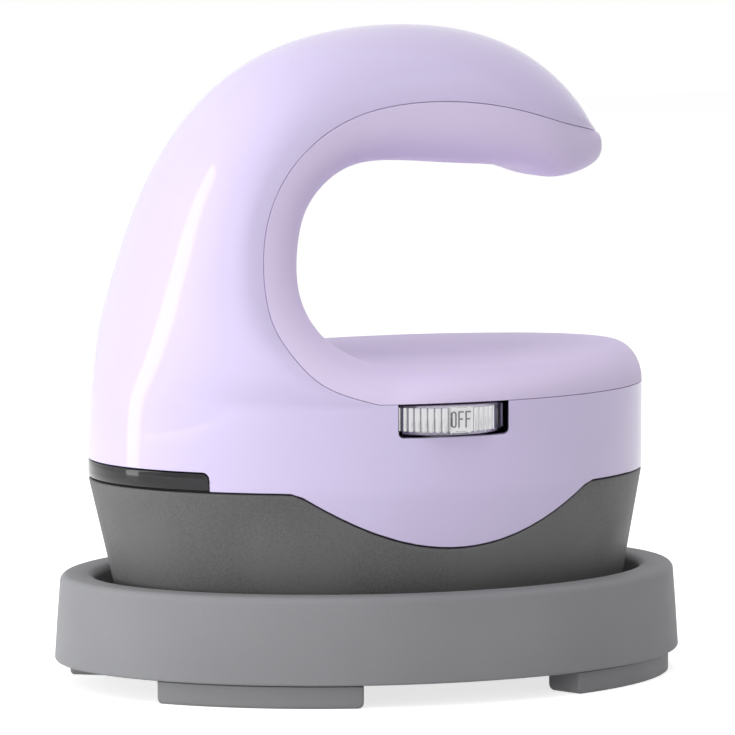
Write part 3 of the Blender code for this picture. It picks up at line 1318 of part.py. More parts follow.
def make_materials():
    """Every finish on the press and its tray."""
    return {
        "shell": make_material("lavender_plastic", (0.62, 0.52, 0.80), 0.28),
        "skirt": make_material("dark_heatproof_plastic", (0.075, 0.074, 0.075), 0.55),
        "smoke": make_material("smoked_plastic", (0.03, 0.03, 0.035), 0.12),
        "tray": make_material("grey_tray_plastic", (0.20, 0.20, 0.21), 0.55),
        "silicone": make_material("grey_silicone", (0.12, 0.12, 0.13), 0.75),
        "chrome": make_material("silver_plating", (0.78, 0.78, 0.79), 0.25, 1.0),
        "plate": make_material("coated_aluminium", (0.22, 0.22, 0.23), 0.38, 0.6),
        "mica": make_material("mica", (0.45, 0.38, 0.26), 0.6),
        "steel": make_material("plain_steel", (0.60, 0.60, 0.60), 0.35, 1.0),
        "blanket": make_material("ceramic_fibre", (0.80, 0.78, 0.74), 0.95),
        "ceramic": make_material("steatite", (0.82, 0.80, 0.75), 0.6),
        "screw": make_material("zinc_steel", (0.55, 0.55, 0.57), 0.35, 1.0),
        "board": make_material("circuit_board", (0.05, 0.22, 0.10), 0.5),
        "black_plastic": make_material("black_plastic", (0.03, 0.03, 0.03), 0.5),
        "blue_plastic": make_material("blue_plastic", (0.05, 0.12, 0.40), 0.45),
        "green_plastic": make_material("green_plastic", (0.08, 0.35, 0.15), 0.5),
        "yellow_tape": make_material("yellow_tape", (0.75, 0.62, 0.10), 0.5),
        "glass_bead": make_material("glass_bead", (0.55, 0.30, 0.12), 0.2),
        "red_lamp": make_material("red_lamp", (0.70, 0.05, 0.04), 0.25),
        "green_lamp": make_material("green_lamp", (0.06, 0.55, 0.10), 0.25),
        "lead": make_material("silicone_lead", (0.80, 0.80, 0.78), 0.6),
    }


def main():
    """Build the tray and the press in it."""
    clear_scene()
    materials = make_materials()
    add_tray(materials)
    for name, middle in FOOT_ANGLES.items():
        add_foot(name, middle, materials["tray"])
    add_liner(materials)
    add_hot_stack(materials)
    add_sensors(materials)
    add_plate_posts(materials)
    add_skirt(materials)
    add_body_screws(materials)
    add_shell(materials)
    add_cover(materials)
    add_lens(materials)
    add_dial(materials)
    add_switch(materials)
    add_board(materials)
    add_cord_fittings(materials)
    add_lamps(materials)
    add_leads(materials)


main()
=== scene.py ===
"""Dresses the mini heat press and its safety tray, and sets up the studio around them.

The press faces +X with the open end of its C-shaped handle and -Y with its dial. Lengths are metres, and
every piece is built in the place where it sits on the real object.
"""

import json
import logging
import math
from dataclasses import dataclass, field
from enum import Enum

import bmesh
import bpy
import numpy as np
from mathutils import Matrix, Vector

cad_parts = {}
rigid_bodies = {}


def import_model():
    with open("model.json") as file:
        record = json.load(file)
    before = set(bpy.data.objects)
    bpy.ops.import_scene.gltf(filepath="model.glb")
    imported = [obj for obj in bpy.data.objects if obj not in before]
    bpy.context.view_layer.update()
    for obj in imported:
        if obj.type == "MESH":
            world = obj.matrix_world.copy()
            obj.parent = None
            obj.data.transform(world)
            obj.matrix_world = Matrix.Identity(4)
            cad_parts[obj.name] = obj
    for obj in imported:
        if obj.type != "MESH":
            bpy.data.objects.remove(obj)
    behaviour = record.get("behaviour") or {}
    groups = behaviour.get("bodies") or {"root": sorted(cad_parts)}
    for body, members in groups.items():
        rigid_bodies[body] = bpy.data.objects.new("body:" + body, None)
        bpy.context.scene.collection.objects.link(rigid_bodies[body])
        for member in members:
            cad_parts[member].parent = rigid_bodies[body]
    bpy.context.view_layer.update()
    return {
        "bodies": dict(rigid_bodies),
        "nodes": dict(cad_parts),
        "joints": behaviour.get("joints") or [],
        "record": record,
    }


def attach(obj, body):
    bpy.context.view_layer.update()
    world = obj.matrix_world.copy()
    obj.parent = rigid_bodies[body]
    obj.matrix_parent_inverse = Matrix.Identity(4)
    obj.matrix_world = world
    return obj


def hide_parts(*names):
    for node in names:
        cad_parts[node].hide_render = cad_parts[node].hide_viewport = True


LOG = logging.getLogger("heat_press")
Colour = tuple[float, float, float]
Pair = tuple[float, float]
Socket = bpy.types.NodeSocket


class Rider(Enum):
    """The moving body that a piece belongs to."""

    BASE = "base"
    PRESS = "press"
    DIAL = "dial"


class Grain(Enum):
    """The surface relief that a moulded piece takes from its tool."""

    POLISHED = (260.0, 0.015, 0.00002)
    SATIN = (1500.0, 0.10, 0.00002)
    SPARK = (2600.0, 0.55, 0.00006)
    FINE = (2100.0, 0.30, 0.00004)


# Finishes


class NodeBench:
    """Wires the nodes of one material."""

    def __init__(self, name: str) -> None:
        """Start a material with only its shader and output.

        Args:
            name: the material's name.
        """
        self.material = bpy.data.materials.new(name)
        self.material.use_nodes = True
        self.tree = self.material.node_tree
        self.shader = self.tree.nodes["Principled BSDF"]
        place = self.tree.nodes.new("ShaderNodeTexCoord")
        self.place = place.outputs["Object"]

    def settle(self, **values: float) -> None:
        """Set the shader's own sockets to values that hold all over the surface.

        Args:
            values: socket names with underscores for blanks.
        """
        for key, value in values.items():
            self.shader.inputs[key.replace("_", " ")].default_value = value

    def link(self, source: Socket, target: Socket) -> None:
        """Join two sockets."""
        self.tree.links.new(source, target)

    def stretched(self, scale: tuple[float, float, float]) -> Socket:
        """Object coordinates scaled by axis.

        Args:
            scale: factors along X, Y and Z.

        Returns:
            The scaled coordinates.
        """
        node = self.tree.nodes.new("ShaderNodeMapping")
        node.inputs["Scale"].default_value = scale
        self.link(self.place, node.inputs["Vector"])
        return node.outputs["Vector"]

    def noise(self, scale: float, detail: float = 3.0, where: Socket | None = None) -> Socket:
        """Soft random variation over the surface.

        Args:
            scale: features per metre.
            detail: number of finer layers.
            where: coordinates, or None for plain object coordinates.

        Returns:
            The variation, 0 to 1.
        """
        node = self.tree.nodes.new("ShaderNodeTexNoise")
        node.inputs["Scale"].default_value = scale
        node.inputs["Detail"].default_value = detail
        self.link(where or self.place, node.inputs["Vector"])
        return node.outputs["Fac"]

    def cells(self, scale: float, where: Socket | None = None) -> Socket:
        """Distance to the nearest of many scattered points.

        Args:
            scale: cells per metre.
            where: coordinates, or None for plain object coordinates.

        Returns:
            The distance in cells.
        """
        node = self.tree.nodes.new("ShaderNodeTexVoronoi")
        node.inputs["Scale"].default_value = scale
        self.link(where or self.place, node.inputs["Vector"])
        return node.outputs["Distance"]

    def spread(self, source: Socket, low: float, high: float, start: float = 0.3, end: float = 0.7) -> Socket:
        """Map a variation onto a range.

        Args:
            source: the variation.
            low: result at the start.
            high: result at the end.
            start: where the range begins.
            end: where the range ends.

        Returns:
            The mapped value.
        """
        node = self.tree.nodes.new("ShaderNodeMapRange")
        for key, value in (("From Min", start), ("From Max", end), ("To Min", low), ("To Max", high)):
            node.inputs[key].default_value = value
        self.link(source, node.inputs["Value"])
        return node.outputs["Result"]

    def tones(self, source: Socket, stops: tuple[tuple[float, Colour], ...]) -> Socket:
        """Colour chosen by a variation.

        Args:
            source: the variation.
            stops: places and their colours.

        Returns:
            The colour.
        """
        node = self.tree.nodes.new("ShaderNodeValToRGB")
        ramp = node.color_ramp
        while len(ramp.elements) < len(stops):
            ramp.elements.new(0.5)
        for element, (place, colour) in zip(ramp.elements, stops):
            element.position = place
            element.color = (*colour, 1.0)
        self.link(source, node.inputs["Fac"])
        return node.outputs["Color"]

    def added(self, first: Socket, second: Socket, share: float) -> Socket:
        """First variation plus a share of the second.

        Args:
            first: one variation.
            second: the other variation.
            share: factor on the second.

        Returns:
            The sum.
        """
        node = self.tree.nodes.new("ShaderNodeMath")
        node.operation = "MULTIPLY_ADD"
        node.inputs[1].default_value = share
        self.link(second, node.inputs[0])
        self.link(first, node.inputs[2])
        return node.outputs["Value"]

    def relief(self, height: Socket, strength: float, depth: float) -> None:
        """Raise the surface by a height.

        Args:
            height: the height variation.
            strength: how much of it shows, 0 to 1.
            depth: metres from low to high.
        """
        node = self.tree.nodes.new("ShaderNodeBump")
        node.inputs["Strength"].default_value = strength
        node.inputs["Distance"].default_value = depth
        self.link(height, node.inputs["Height"])
        self.link(node.outputs["Normal"], self.shader.inputs["Normal"])

    def colour(self, source: Socket) -> None:
        """Give the shader its colour."""
        self.link(source, self.shader.inputs["Base Color"])

    def roughness(self, source: Socket) -> None:
        """Give the shader its roughness."""
        self.link(source, self.shader.inputs["Roughness"])


def shade(colour: Colour, factor: float) -> Colour:
    """A lighter or darker tone of a colour.

    Args:
        colour: the middle tone.
        factor: 1 keeps it.

    Returns:
        The tone, capped at white.
    """
    red, green, blue = (min(part * factor, 1.0) for part in colour)
    return red, green, blue


@dataclass(frozen=True)
class Finish:
    """What every finish has: a name, and a way to make its material once."""

    name: str

    def bench(self) -> NodeBench:
        """A node bench under the finish's name."""
        return NodeBench(self.name)

    def make(self) -> bpy.types.Material:
        """The finish's material, made the first time it is asked for.

        Returns:
            The material.
        """
        known = bpy.data.materials.get(self.name)
        return known if known else self.wire()

    def wire(self) -> bpy.types.Material:
        """Wire the nodes. Each finish has its own way."""
        return self.bench().material


@dataclass(frozen=True)
class MouldedPlastic(Finish):
    """Injection-moulded plastic: a slightly uneven tone, its gloss and the relief of its tool."""

    tone: Colour
    gloss_low: float = 0.30
    gloss_high: float = 0.40
    grain: Grain = Grain.SATIN
    coat: float = 0.0
    unevenness: float = 0.03
    specks: float = 0.0
    shine: float = 0.5

    def wire(self) -> bpy.types.Material:
        """Wire tone, gloss and relief.

        Returns:
            The material.
        """
        bench = self.bench()
        cloud = bench.noise(28.0, 2.0)
        scale, strength, depth = self.grain.value
        fine = bench.noise(scale, 2.0)
        mixed = bench.added(cloud, fine, self.specks) if self.specks else cloud
        low, high = shade(self.tone, 1 - self.unevenness), shade(self.tone, 1 + self.unevenness)
        middle = 0.5 * (1 + self.specks)
        bench.colour(bench.tones(mixed, ((middle - 0.18, low), (middle + 0.18, high))))
        bench.roughness(bench.spread(bench.noise(90.0, 3.0), self.gloss_low, self.gloss_high))
        bench.relief(fine, strength, depth)
        bench.settle(IOR=1.46, Specular_IOR_Level=self.shine, Coat_Weight=self.coat, Coat_Roughness=0.04)
        return bench.material


@dataclass(frozen=True)
class SmokedWindow(Finish):
    """Dark tinted polycarbonate with a polished face."""

    tone: Colour = (0.010, 0.009, 0.011)

    def wire(self) -> bpy.types.Material:
        """Wire the tint, faint flow lines and a hard gloss.

        Returns:
            The material.
        """
        bench = self.bench()
        flow = bench.noise(160.0, 2.0, bench.stretched((1.0, 0.2, 3.0)))
        bench.colour(bench.tones(flow, ((0.35, shade(self.tone, 0.8)), (0.65, shade(self.tone, 1.4)))))
        bench.roughness(bench.spread(flow, 0.05, 0.09))
        bench.relief(bench.noise(300.0, 1.0), 0.02, 0.00002)
        bench.settle(IOR=1.45)
        return bench.material


@dataclass(frozen=True)
class BrightMetal(Finish):
    """Plated or bare metal with fine lines along one axis and faint smudges."""

    tone: Colour
    rough_low: float = 0.20
    rough_high: float = 0.32
    line_scale: tuple[float, float, float] = (1.0, 1.0, 8.0)
    line_depth: float = 0.12
    metal: float = 1.0

    def wire(self) -> bpy.types.Material:
        """Wire lines, smudges and tone.

        Returns:
            The material.
        """
        bench = self.bench()
        lines = bench.noise(900.0, 3.0, bench.stretched(self.line_scale))
        smudge = bench.noise(120.0, 3.0)
        bench.colour(bench.tones(smudge, ((0.3, shade(self.tone, 0.93)), (0.7, shade(self.tone, 1.05)))))
        bench.roughness(bench.spread(bench.added(smudge, lines, 0.5), self.rough_low, self.rough_high, 0.5, 1.0))
        bench.relief(lines, self.line_depth, 0.00002)
        bench.settle(Metallic=self.metal)
        return bench.material


@dataclass(frozen=True)
class SpeckledCoat(Finish):
    """Non-stick coating on the soleplate: dark, with fine pale flecks."""

    tone: Colour = (0.060, 0.060, 0.064)
    fleck: Colour = (0.30, 0.30, 0.31)

    def wire(self) -> bpy.types.Material:
        """Wire flecks over the coat.

        Returns:
            The material.
        """
        bench = self.bench()
        specks = bench.cells(900.0)
        stops = ((0.02, self.fleck), (0.10, self.tone), (0.60, shade(self.tone, 1.25)))
        bench.colour(bench.tones(specks, stops))
        bench.roughness(bench.spread(bench.noise(200.0, 3.0), 0.30, 0.42))
        bench.relief(bench.noise(2400.0, 2.0), 0.25, 0.00003)
        bench.settle(Metallic=0.3)
        return bench.material


@dataclass(frozen=True)
class Fibre(Finish):
    """Felted ceramic blanket: matted threads with shadowed hollows."""

    tone: Colour = (0.74, 0.72, 0.67)

    def wire(self) -> bpy.types.Material:
        """Wire threads and hollows.

        Returns:
            The material.
        """
        bench = self.bench()
        threads = bench.noise(1400.0, 6.0, bench.stretched((1.0, 3.0, 1.0)))
        # Painted shade: the tone is darker where the thread relief is low, in the hollows.
        bench.colour(bench.tones(threads, ((0.30, shade(self.tone, 0.72)), (0.62, shade(self.tone, 1.08)))))
        bench.roughness(bench.spread(threads, 0.90, 1.0))
        bench.relief(threads, 0.8, 0.0003)
        return bench.material


@dataclass(frozen=True)
class Mineral(Finish):
    """Mica or fired steatite: a cloudy mineral body with a few darker flakes."""

    tone: Colour
    flake: Colour
    scale: float = 350.0
    rough: float = 0.45

    def wire(self) -> bpy.types.Material:
        """Wire clouds and flakes.

        Returns:
            The material.
        """
        bench = self.bench()
        flakes = bench.cells(self.scale, bench.stretched((1.0, 1.0, 4.0)))
        bench.colour(bench.tones(flakes, ((0.10, self.flake), (0.45, self.tone), (0.8, shade(self.tone, 1.15)))))
        bench.roughness(bench.spread(flakes, self.rough, self.rough + 0.15, 0.1, 0.8))
        bench.relief(flakes, 0.3, 0.00004)
        return bench.material


@dataclass(frozen=True)
class CircuitBoard(Finish):
    """Green solder mask with the weave of the glass cloth and paler copper fields under it."""

    mask: Colour = (0.020, 0.150, 0.055)
    copper: Colour = (0.045, 0.230, 0.085)

    def wire(self) -> bpy.types.Material:
        """Wire copper fields and weave.

        Returns:
            The material.
        """
        bench = self.bench()
        fields = bench.cells(170.0)
        bench.colour(bench.tones(fields, ((0.32, self.mask), (0.36, self.copper), (0.55, self.mask))))
        weave = bench.noise(1800.0, 1.0, bench.stretched((1.0, 1.0, 0.1)))
        bench.roughness(bench.spread(fields, 0.28, 0.42))
        bench.relief(bench.added(fields, weave, 0.4), 0.25, 0.00005)
        return bench.material


@dataclass(frozen=True)
class Tinted(Finish):
    """Clear tinted resin or glass of a lamp or a bead, with a slightly uneven tint."""

    tone: Colour

    def wire(self) -> bpy.types.Material:
        """Wire the tint.

        Returns:
            The material.
        """
        bench = self.bench()
        body = bench.noise(500.0, 2.0)
        bench.colour(bench.tones(body, ((0.35, shade(self.tone, 0.75)), (0.65, shade(self.tone, 1.2)))))
        bench.roughness(bench.spread(body, 0.08, 0.16))
        bench.relief(body, 0.05, 0.00002)
        bench.settle(Transmission_Weight=0.35, IOR=1.5)
        return bench.material


@dataclass(frozen=True)
class Finishes:
    """Every finish on the press and its tray, by the piece that wears it."""

    shell: Finish = MouldedPlastic("gloss_lavender", (0.715, 0.628, 0.905), 0.40, 0.46, Grain.POLISHED, 0.7, 0.012, shine=0.25)
    # Painted light: the cover's lavender is lighter than the shell's, standing in for the bounce light inside the
    # C.
    cover: Finish = MouldedPlastic("satin_lavender", (0.830, 0.724, 0.985), 0.40, 0.48, Grain.SATIN, 0.0, 0.015,
                                   shine=0.12)
    skirt: Finish = MouldedPlastic("spark_grey", (0.118, 0.117, 0.118), 0.50, 0.60, Grain.SPARK, 0.0, 0.16, 0.8)
    tray: Finish = MouldedPlastic("matt_grey", (0.296, 0.297, 0.311), 0.52, 0.62, Grain.FINE, 0.0, 0.05, 0.25, shine=0.15)
    # Painted shade: the pads wear the tray's grey made a little darker, for the shade under the tray's edge.
    foot: Finish = MouldedPlastic("foot_grey", (0.250, 0.251, 0.262), 0.58, 0.68, Grain.FINE, 0.0, 0.06, 0.25)
    liner: Finish = MouldedPlastic("grey_silicone", (0.115, 0.115, 0.122), 0.62, 0.75, Grain.SPARK, 0.0, 0.10, 0.3)
    window: Finish = SmokedWindow("smoked_polycarbonate")
    dial: Finish = BrightMetal("satin_silver", (0.56, 0.56, 0.575), 0.20, 0.30, (1.0, 1.0, 0.15))
    mark: Finish = MouldedPlastic("engraved_grey", (0.240, 0.240, 0.250), 0.45, 0.55, Grain.SATIN)
    soleplate: Finish = SpeckledCoat("speckled_coat")
    steel: Finish = BrightMetal("brushed_steel", (0.56, 0.56, 0.57), 0.26, 0.42, (0.3, 6.0, 6.0), 0.2)
    zinc: Finish = BrightMetal("zinc_screw", (0.60, 0.60, 0.60), 0.25, 0.40, (1.0, 1.0, 1.0))
    sink: Finish = BrightMetal("extruded_aluminium", (0.70, 0.70, 0.71), 0.30, 0.45, (6.0, 6.0, 0.4), 0.3)
    blanket: Finish = Fibre("ceramic_blanket")
    mica: Finish = Mineral("mica_sheet", (0.40, 0.33, 0.20), (0.24, 0.19, 0.11))
    steatite: Finish = Mineral("fired_steatite", (0.74, 0.71, 0.64), (0.60, 0.57, 0.50), 900.0, 0.5)
    board: Finish = CircuitBoard("solder_mask")
    black: Finish = MouldedPlastic("black_nylon", (0.022, 0.022, 0.024), 0.42, 0.52, Grain.FINE, 0.0, 0.10)
    blue: Finish = MouldedPlastic("blue_case", (0.030, 0.095, 0.340), 0.30, 0.40, Grain.SATIN, 0.0, 0.06)
    green: Finish = MouldedPlastic("green_terminal", (0.060, 0.300, 0.120), 0.35, 0.45, Grain.SATIN, 0.0, 0.06)
    yellow: Finish = MouldedPlastic("amber_tape", (0.720, 0.560, 0.080), 0.35, 0.48, Grain.SATIN, 0.0, 0.08)
    bead: Finish = Tinted("amber_bead", (0.50, 0.24, 0.08))
    red: Finish = Tinted("red_diode", (0.65, 0.04, 0.03))
    ready: Finish = Tinted("green_diode", (0.05, 0.50, 0.10))
    lead: Finish = MouldedPlastic("white_lead", (0.720, 0.715, 0.690), 0.50, 0.62, Grain.FINE, 0.0, 0.05)


# Forms shared by several pieces


STATIONS = (0.0, 0.1, 0.2, 0.3, 0.4, 0.5, 0.6, 0.7, 0.8, 0.9, 0.95, 1.0)


class StationCurve:
    """Smooth curve through a value at each station of the handle."""

    def __init__(self, values: list[float]) -> None:
        """Solve the curve's bends.

        Args:
            values: one value for each station.
        """
        self.values = values
        count = len(STATIONS)
        system, known = np.eye(count), np.zeros(count)
        for i in range(1, count - 1):
            before, after = STATIONS[i] - STATIONS[i - 1], STATIONS[i + 1] - STATIONS[i]
            system[i, i - 1:i + 2] = (before / 6, (before + after) / 3, after / 6)
            known[i] = (values[i + 1] - values[i]) / after - (values[i] - values[i - 1]) / before
        self.bends = np.linalg.solve(system, known)

    def at(self, share: float) -> float:
        """Value at a share of the handle's length.

        Args:
            share: 0 at the deck, 1 at the tip.

        Returns:
            The value.
        """
        index = max(i for i in range(len(STATIONS) - 1) if share >= STATIONS[i])
        span = STATIONS[index + 1] - STATIONS[index]
        after = (share - STATIONS[index]) / span
        before = 1 - after
        bow = (before ** 3 - before) * self.bends[index] + (after ** 3 - after) * self.bends[index + 1]
        return float(before * self.values[index] + after * self.values[index + 1] + bow * span * span / 6)


@dataclass(frozen=True)
class Section:
    """One cut through the handle: side-view points, half width, lower corner and form of the back."""

    spine: Vector
    seam: Vector
    palm: Vector
    half: float
    corner: float
    power: float
    mix: float


@dataclass(frozen=True)
class Oval:
    """The plan shape that the body, the tray and the stack share."""

    half_length: float
    half_width: float

    def point(self, angle: float) -> Pair:
        """Point whose outward direction is an angle.

        Args:
            angle: radians from +X.

        Returns:
            X and Y.
        """
        middle, swing = (self.half_length + self.half_width) / 2, (self.half_length - self.half_width) / 2
        reach = middle + swing * math.cos(2 * angle)
        slope = -2 * swing * math.sin(2 * angle)
        return (reach * math.cos(angle) - slope * math.sin(angle),
                reach * math.sin(angle) + slope * math.cos(angle))

    def bend(self, angle: float) -> float:
        """Radius of curvature at an outward direction."""
        middle, swing = (self.half_length + self.half_width) / 2, (self.half_length - self.half_width) / 2
        return middle - 3 * swing * math.cos(2 * angle)

    def shrunk(self, inset: float) -> "Oval":
        """The oval drawn in by an inset all round."""
        return Oval(self.half_length - inset, self.half_width - inset)

    def direction_at(self, x: float, low: float, high: float) -> float:
        """Outward direction, between two given ones, where the oval passes a place along X.

        Args:
            x: the place.
            low: direction whose X is larger.
            high: direction whose X is smaller.

        Returns:
            The direction.
        """
        for _ in range(60):
            middle = (low + high) / 2
            if self.point(middle)[0] > x:
                low = middle
            else:
                high = middle
        return low


def soft_positive(value: float, softness: float) -> float:
    """Value where positive, nothing where negative, with a soft change between.

    Args:
        value: the value.
        softness: size of the change's zone.

    Returns:
        The softened value.
    """
    return (value + math.sqrt(value * value + softness * softness)) / 2


def full_turn(steps: int) -> list[float]:
    """Evenly spaced directions round a full turn."""
    return [2 * math.pi * index / steps for index in range(steps)]


@dataclass
class PressForm:
    """The body's skin and the handle's sections, which shell, cover, skirt and window all follow."""

    body: Oval = Oval(0.0610, 0.0463)
    seam_height: float = 0.0615
    seam_gap: float = 0.0003
    deck_top: float = 0.0677
    deck_lift: float = 0.00175
    deck_fillet: float = 0.0085
    front_fillet: float = 0.0050
    front_trim: float = 0.0010
    lean: float = 0.0008
    lean_start: float = 0.0480
    wave_top: float = 0.0435
    wave_dip: float = 0.0119
    wave_half_span: float = 0.0332
    wave_shoulder: float = 0.0004
    taper_inset: float = 0.0054
    taper_height: float = 0.0263
    forward_shift: float = 0.0008
    rise: float = 0.0750
    reach: float = 0.0531
    grip_half: float = 0.0215
    nose_start: float = 0.0144
    nose_overhang: float = 0.0024
    turn_share: float = -0.2836

    SPINE = ((-0.987, 0.000), (-0.959, 0.113), (-0.918, 0.240), (-0.852, 0.411), (-0.731, 0.640),
             (-0.490, 0.868), (-0.131, 0.988), (0.330, 0.995), (0.692, 0.900), (0.890, 0.760),
             (0.914, 0.729), (0.968, 0.693))
    SEAM = ((-0.2836, 0.000), (-0.462, 0.053), (-0.557, 0.143), (-0.598, 0.261), (-0.562, 0.481),
            (-0.402, 0.676), (-0.118, 0.787), (0.296, 0.796), (0.622, 0.747), (0.779, 0.720),
            (0.883, 0.705), (0.968, 0.693))
    PALM = ((-0.164, 0.000), (-0.269, 0.026), (-0.365, 0.093), (-0.415, 0.218), (-0.379, 0.374),
            (-0.311, 0.493), (-0.116, 0.591), (0.264, 0.586), (0.591, 0.562), (0.824, 0.535),
            (0.989, 0.586), (0.968, 0.657))
    WIDTH = ((0.959, 0.000), (0.800, 0.207), (0.500, 0.644), (0.250, 0.927), (0.080, 1.037),
             (0.000, 1.093), (0.000, 1.023), (0.000, 1.000), (0.000, 0.870), (0.000, 0.670),
             (0.000, 0.470), (0.000, 0.000))
    CORNER = (0.191, 0.230, 0.290, 0.380, 0.540, 0.720, 0.880, 0.900, 0.900, 0.880, 0.800, 0.700)
    POWER = (2.0, 2.0, 2.0, 2.0, 2.2, 2.6, 3.0, 3.0, 3.0, 2.6, 2.4, 2.2)
    MIX = (0.0, 0.25, 0.5, 0.75, 1.0, 1.0, 1.0, 1.0, 1.0, 1.0, 1.0, 1.0)

    def __post_init__(self) -> None:
        """Solve the handle's curves and find where the seam starts to climb."""
        palm_rise = self.rise - (self.deck_top - self.seam_height)
        spine = self._side_points(self.SPINE, self.seam_height, self.rise)
        seam = self._side_points(self.SEAM, self.seam_height, self.rise)
        palm = self._side_points(self.PALM, self.deck_top, palm_rise)
        spine[-1], palm[-1] = seam[-1], (seam[-1][0], seam[-1][1] - self.seam_gap)
        self.tip, self.nose_heights = seam[-1][0], (palm[-2][1], seam[-1][1])
        self.lines = [
            (StationCurve([p[0] for p in line]), StationCurve([p[1] for p in line]))
            for line in (spine, seam, palm)
        ]
        self.halves = StationCurve([b * self.body.half_width + g * self.grip_half for b, g in self.WIDTH])
        self.corners = StationCurve(list(self.CORNER))
        self.powers = StationCurve(list(self.POWER))
        self.mixes = StationCurve(list(self.MIX))
        self.turn = self.body.direction_at(self.turn_share * self.body.half_length, math.pi / 2, math.pi)
        self.root_lean = palm[0][0] - seam[0][0]

    def _side_points(self, shares: tuple[Pair, ...], base: float, rise: float) -> list[Pair]:
        """Side-view points of one line of the handle.

        Args:
            shares: X and Z shares of each station.
            base: height of the first station.
            rise: what the Z shares are of.

        Returns:
            X and Z of each station.
        """
        back, front = self.body.half_length, self.reach
        return [(x * (back if x < 0 else front), base + rise * z) for x, z in shares]

    def section(self, share: float) -> Section:
        """The handle's section at a share of its length.

        Args:
            share: 0 at the deck, 1 at the tip.

        Returns:
            The section.
        """
        spine, seam, palm = (Vector((across.at(share), up.at(share))) for across, up in self.lines)
        half = max(self.halves.at(share), 0.0)
        if share > STATIONS[-3]:
            start = [line.at(STATIONS[-3]) for line in self.lines[1]]
            half = self.halves.at(STATIONS[-3]) * self._nose(seam.x, seam.y) / self._nose(*start)
        corner = self.corners.at(share) * half
        mix = min(max(self.mixes.at(share), 0.0), 1.0)
        return Section(spine, seam, palm, half, corner, self.powers.at(share), mix)

    def _nose(self, x: float, height: float) -> float:
        """Width of the rounded nose at a place, as a share of its widest.

        Args:
            x: place along the handle.
            height: Z there. Below the seam the nose reaches further.

        Returns:
            The share.
        """
        low, high = self.nose_heights
        climb = min(max((height - low) / (high - low), 0.0), 1.0)
        tip = self.tip + self.nose_overhang * math.sqrt(1 - climb * climb)
        along = max(x - self.nose_start, 0.0) / (tip - self.nose_start)
        return math.sqrt(max(1 - along * along, 0.0))

    def rounded(self, point: Vector, seam: Vector) -> Vector:
        """A point of the cover drawn in toward the middle plane where the nose narrows.

        Args:
            point: the point.
            seam: side-view point of the seam in its row.

        Returns:
            The point's new place.
        """
        if point.y == 0:
            return point
        narrowing = self._nose(point.x, point.z) / self._nose(seam.x, seam.y)
        return Vector((point.x, point.y * narrowing, point.z))

    def edge_height(self, x: float) -> float:
        """Height of the wavy joint at a place along the body."""
        along = x / self.wave_half_span
        return self.wave_top - soft_positive(self.wave_dip * (1 - along * along), self.wave_shoulder)

    def deck_height(self, x: float) -> float:
        """Height of the deck at a place along the body: it lifts a little toward the front."""
        return self.deck_top + self.deck_lift * (max(x, 0.0) / self.body.half_length) ** 1.5

    def trimmed(self, x: float) -> float:
        """A place along the body with the front half drawn back a little."""
        share = max(x, 0.0) / self.body.half_length
        return x - self.front_trim * share * share

    def handle_shares(self) -> list[float]:
        """Where the handle's rows lie along it, closer together at the nose."""
        return [0.9 * i / 84 for i in range(1, 85)] + [1 - 0.1 * (1 - j / 26) ** 2 for j in range(1, 27)]

    def skin(self, angle: float, height: float, inset: float) -> Vector:
        """Point of the body's skin.

        Args:
            angle: outward direction in plan.
            height: Z of the point.
            inset: depth under the skin.

        Returns:
            The point.
        """
        depth = soft_positive(self.wave_top - height, self.wave_shoulder)
        x, y = self.body.shrunk(inset + self.taper_inset * depth / self.taper_height).point(angle)
        x = self.trimmed(x) + self.forward_shift * depth / self.taper_height
        rise = max(height - self.lean_start, 0.0) / (self.seam_height - self.lean_start)
        x += self.lean * rise * rise * max(-math.cos(angle), 0.0) ** 2
        return Vector((x, y, height))

    def wave(self, angle: float, inset: float, drop: float = 0.0) -> Vector:
        """Point of the wavy edge in a direction.

        Args:
            angle: outward direction in plan.
            inset: depth under the skin.
            drop: how far below the edge.

        Returns:
            The point.
        """
        return self.skin(angle, self.edge_height(self.body.point(angle)[0]) - drop, inset)


# Meshes


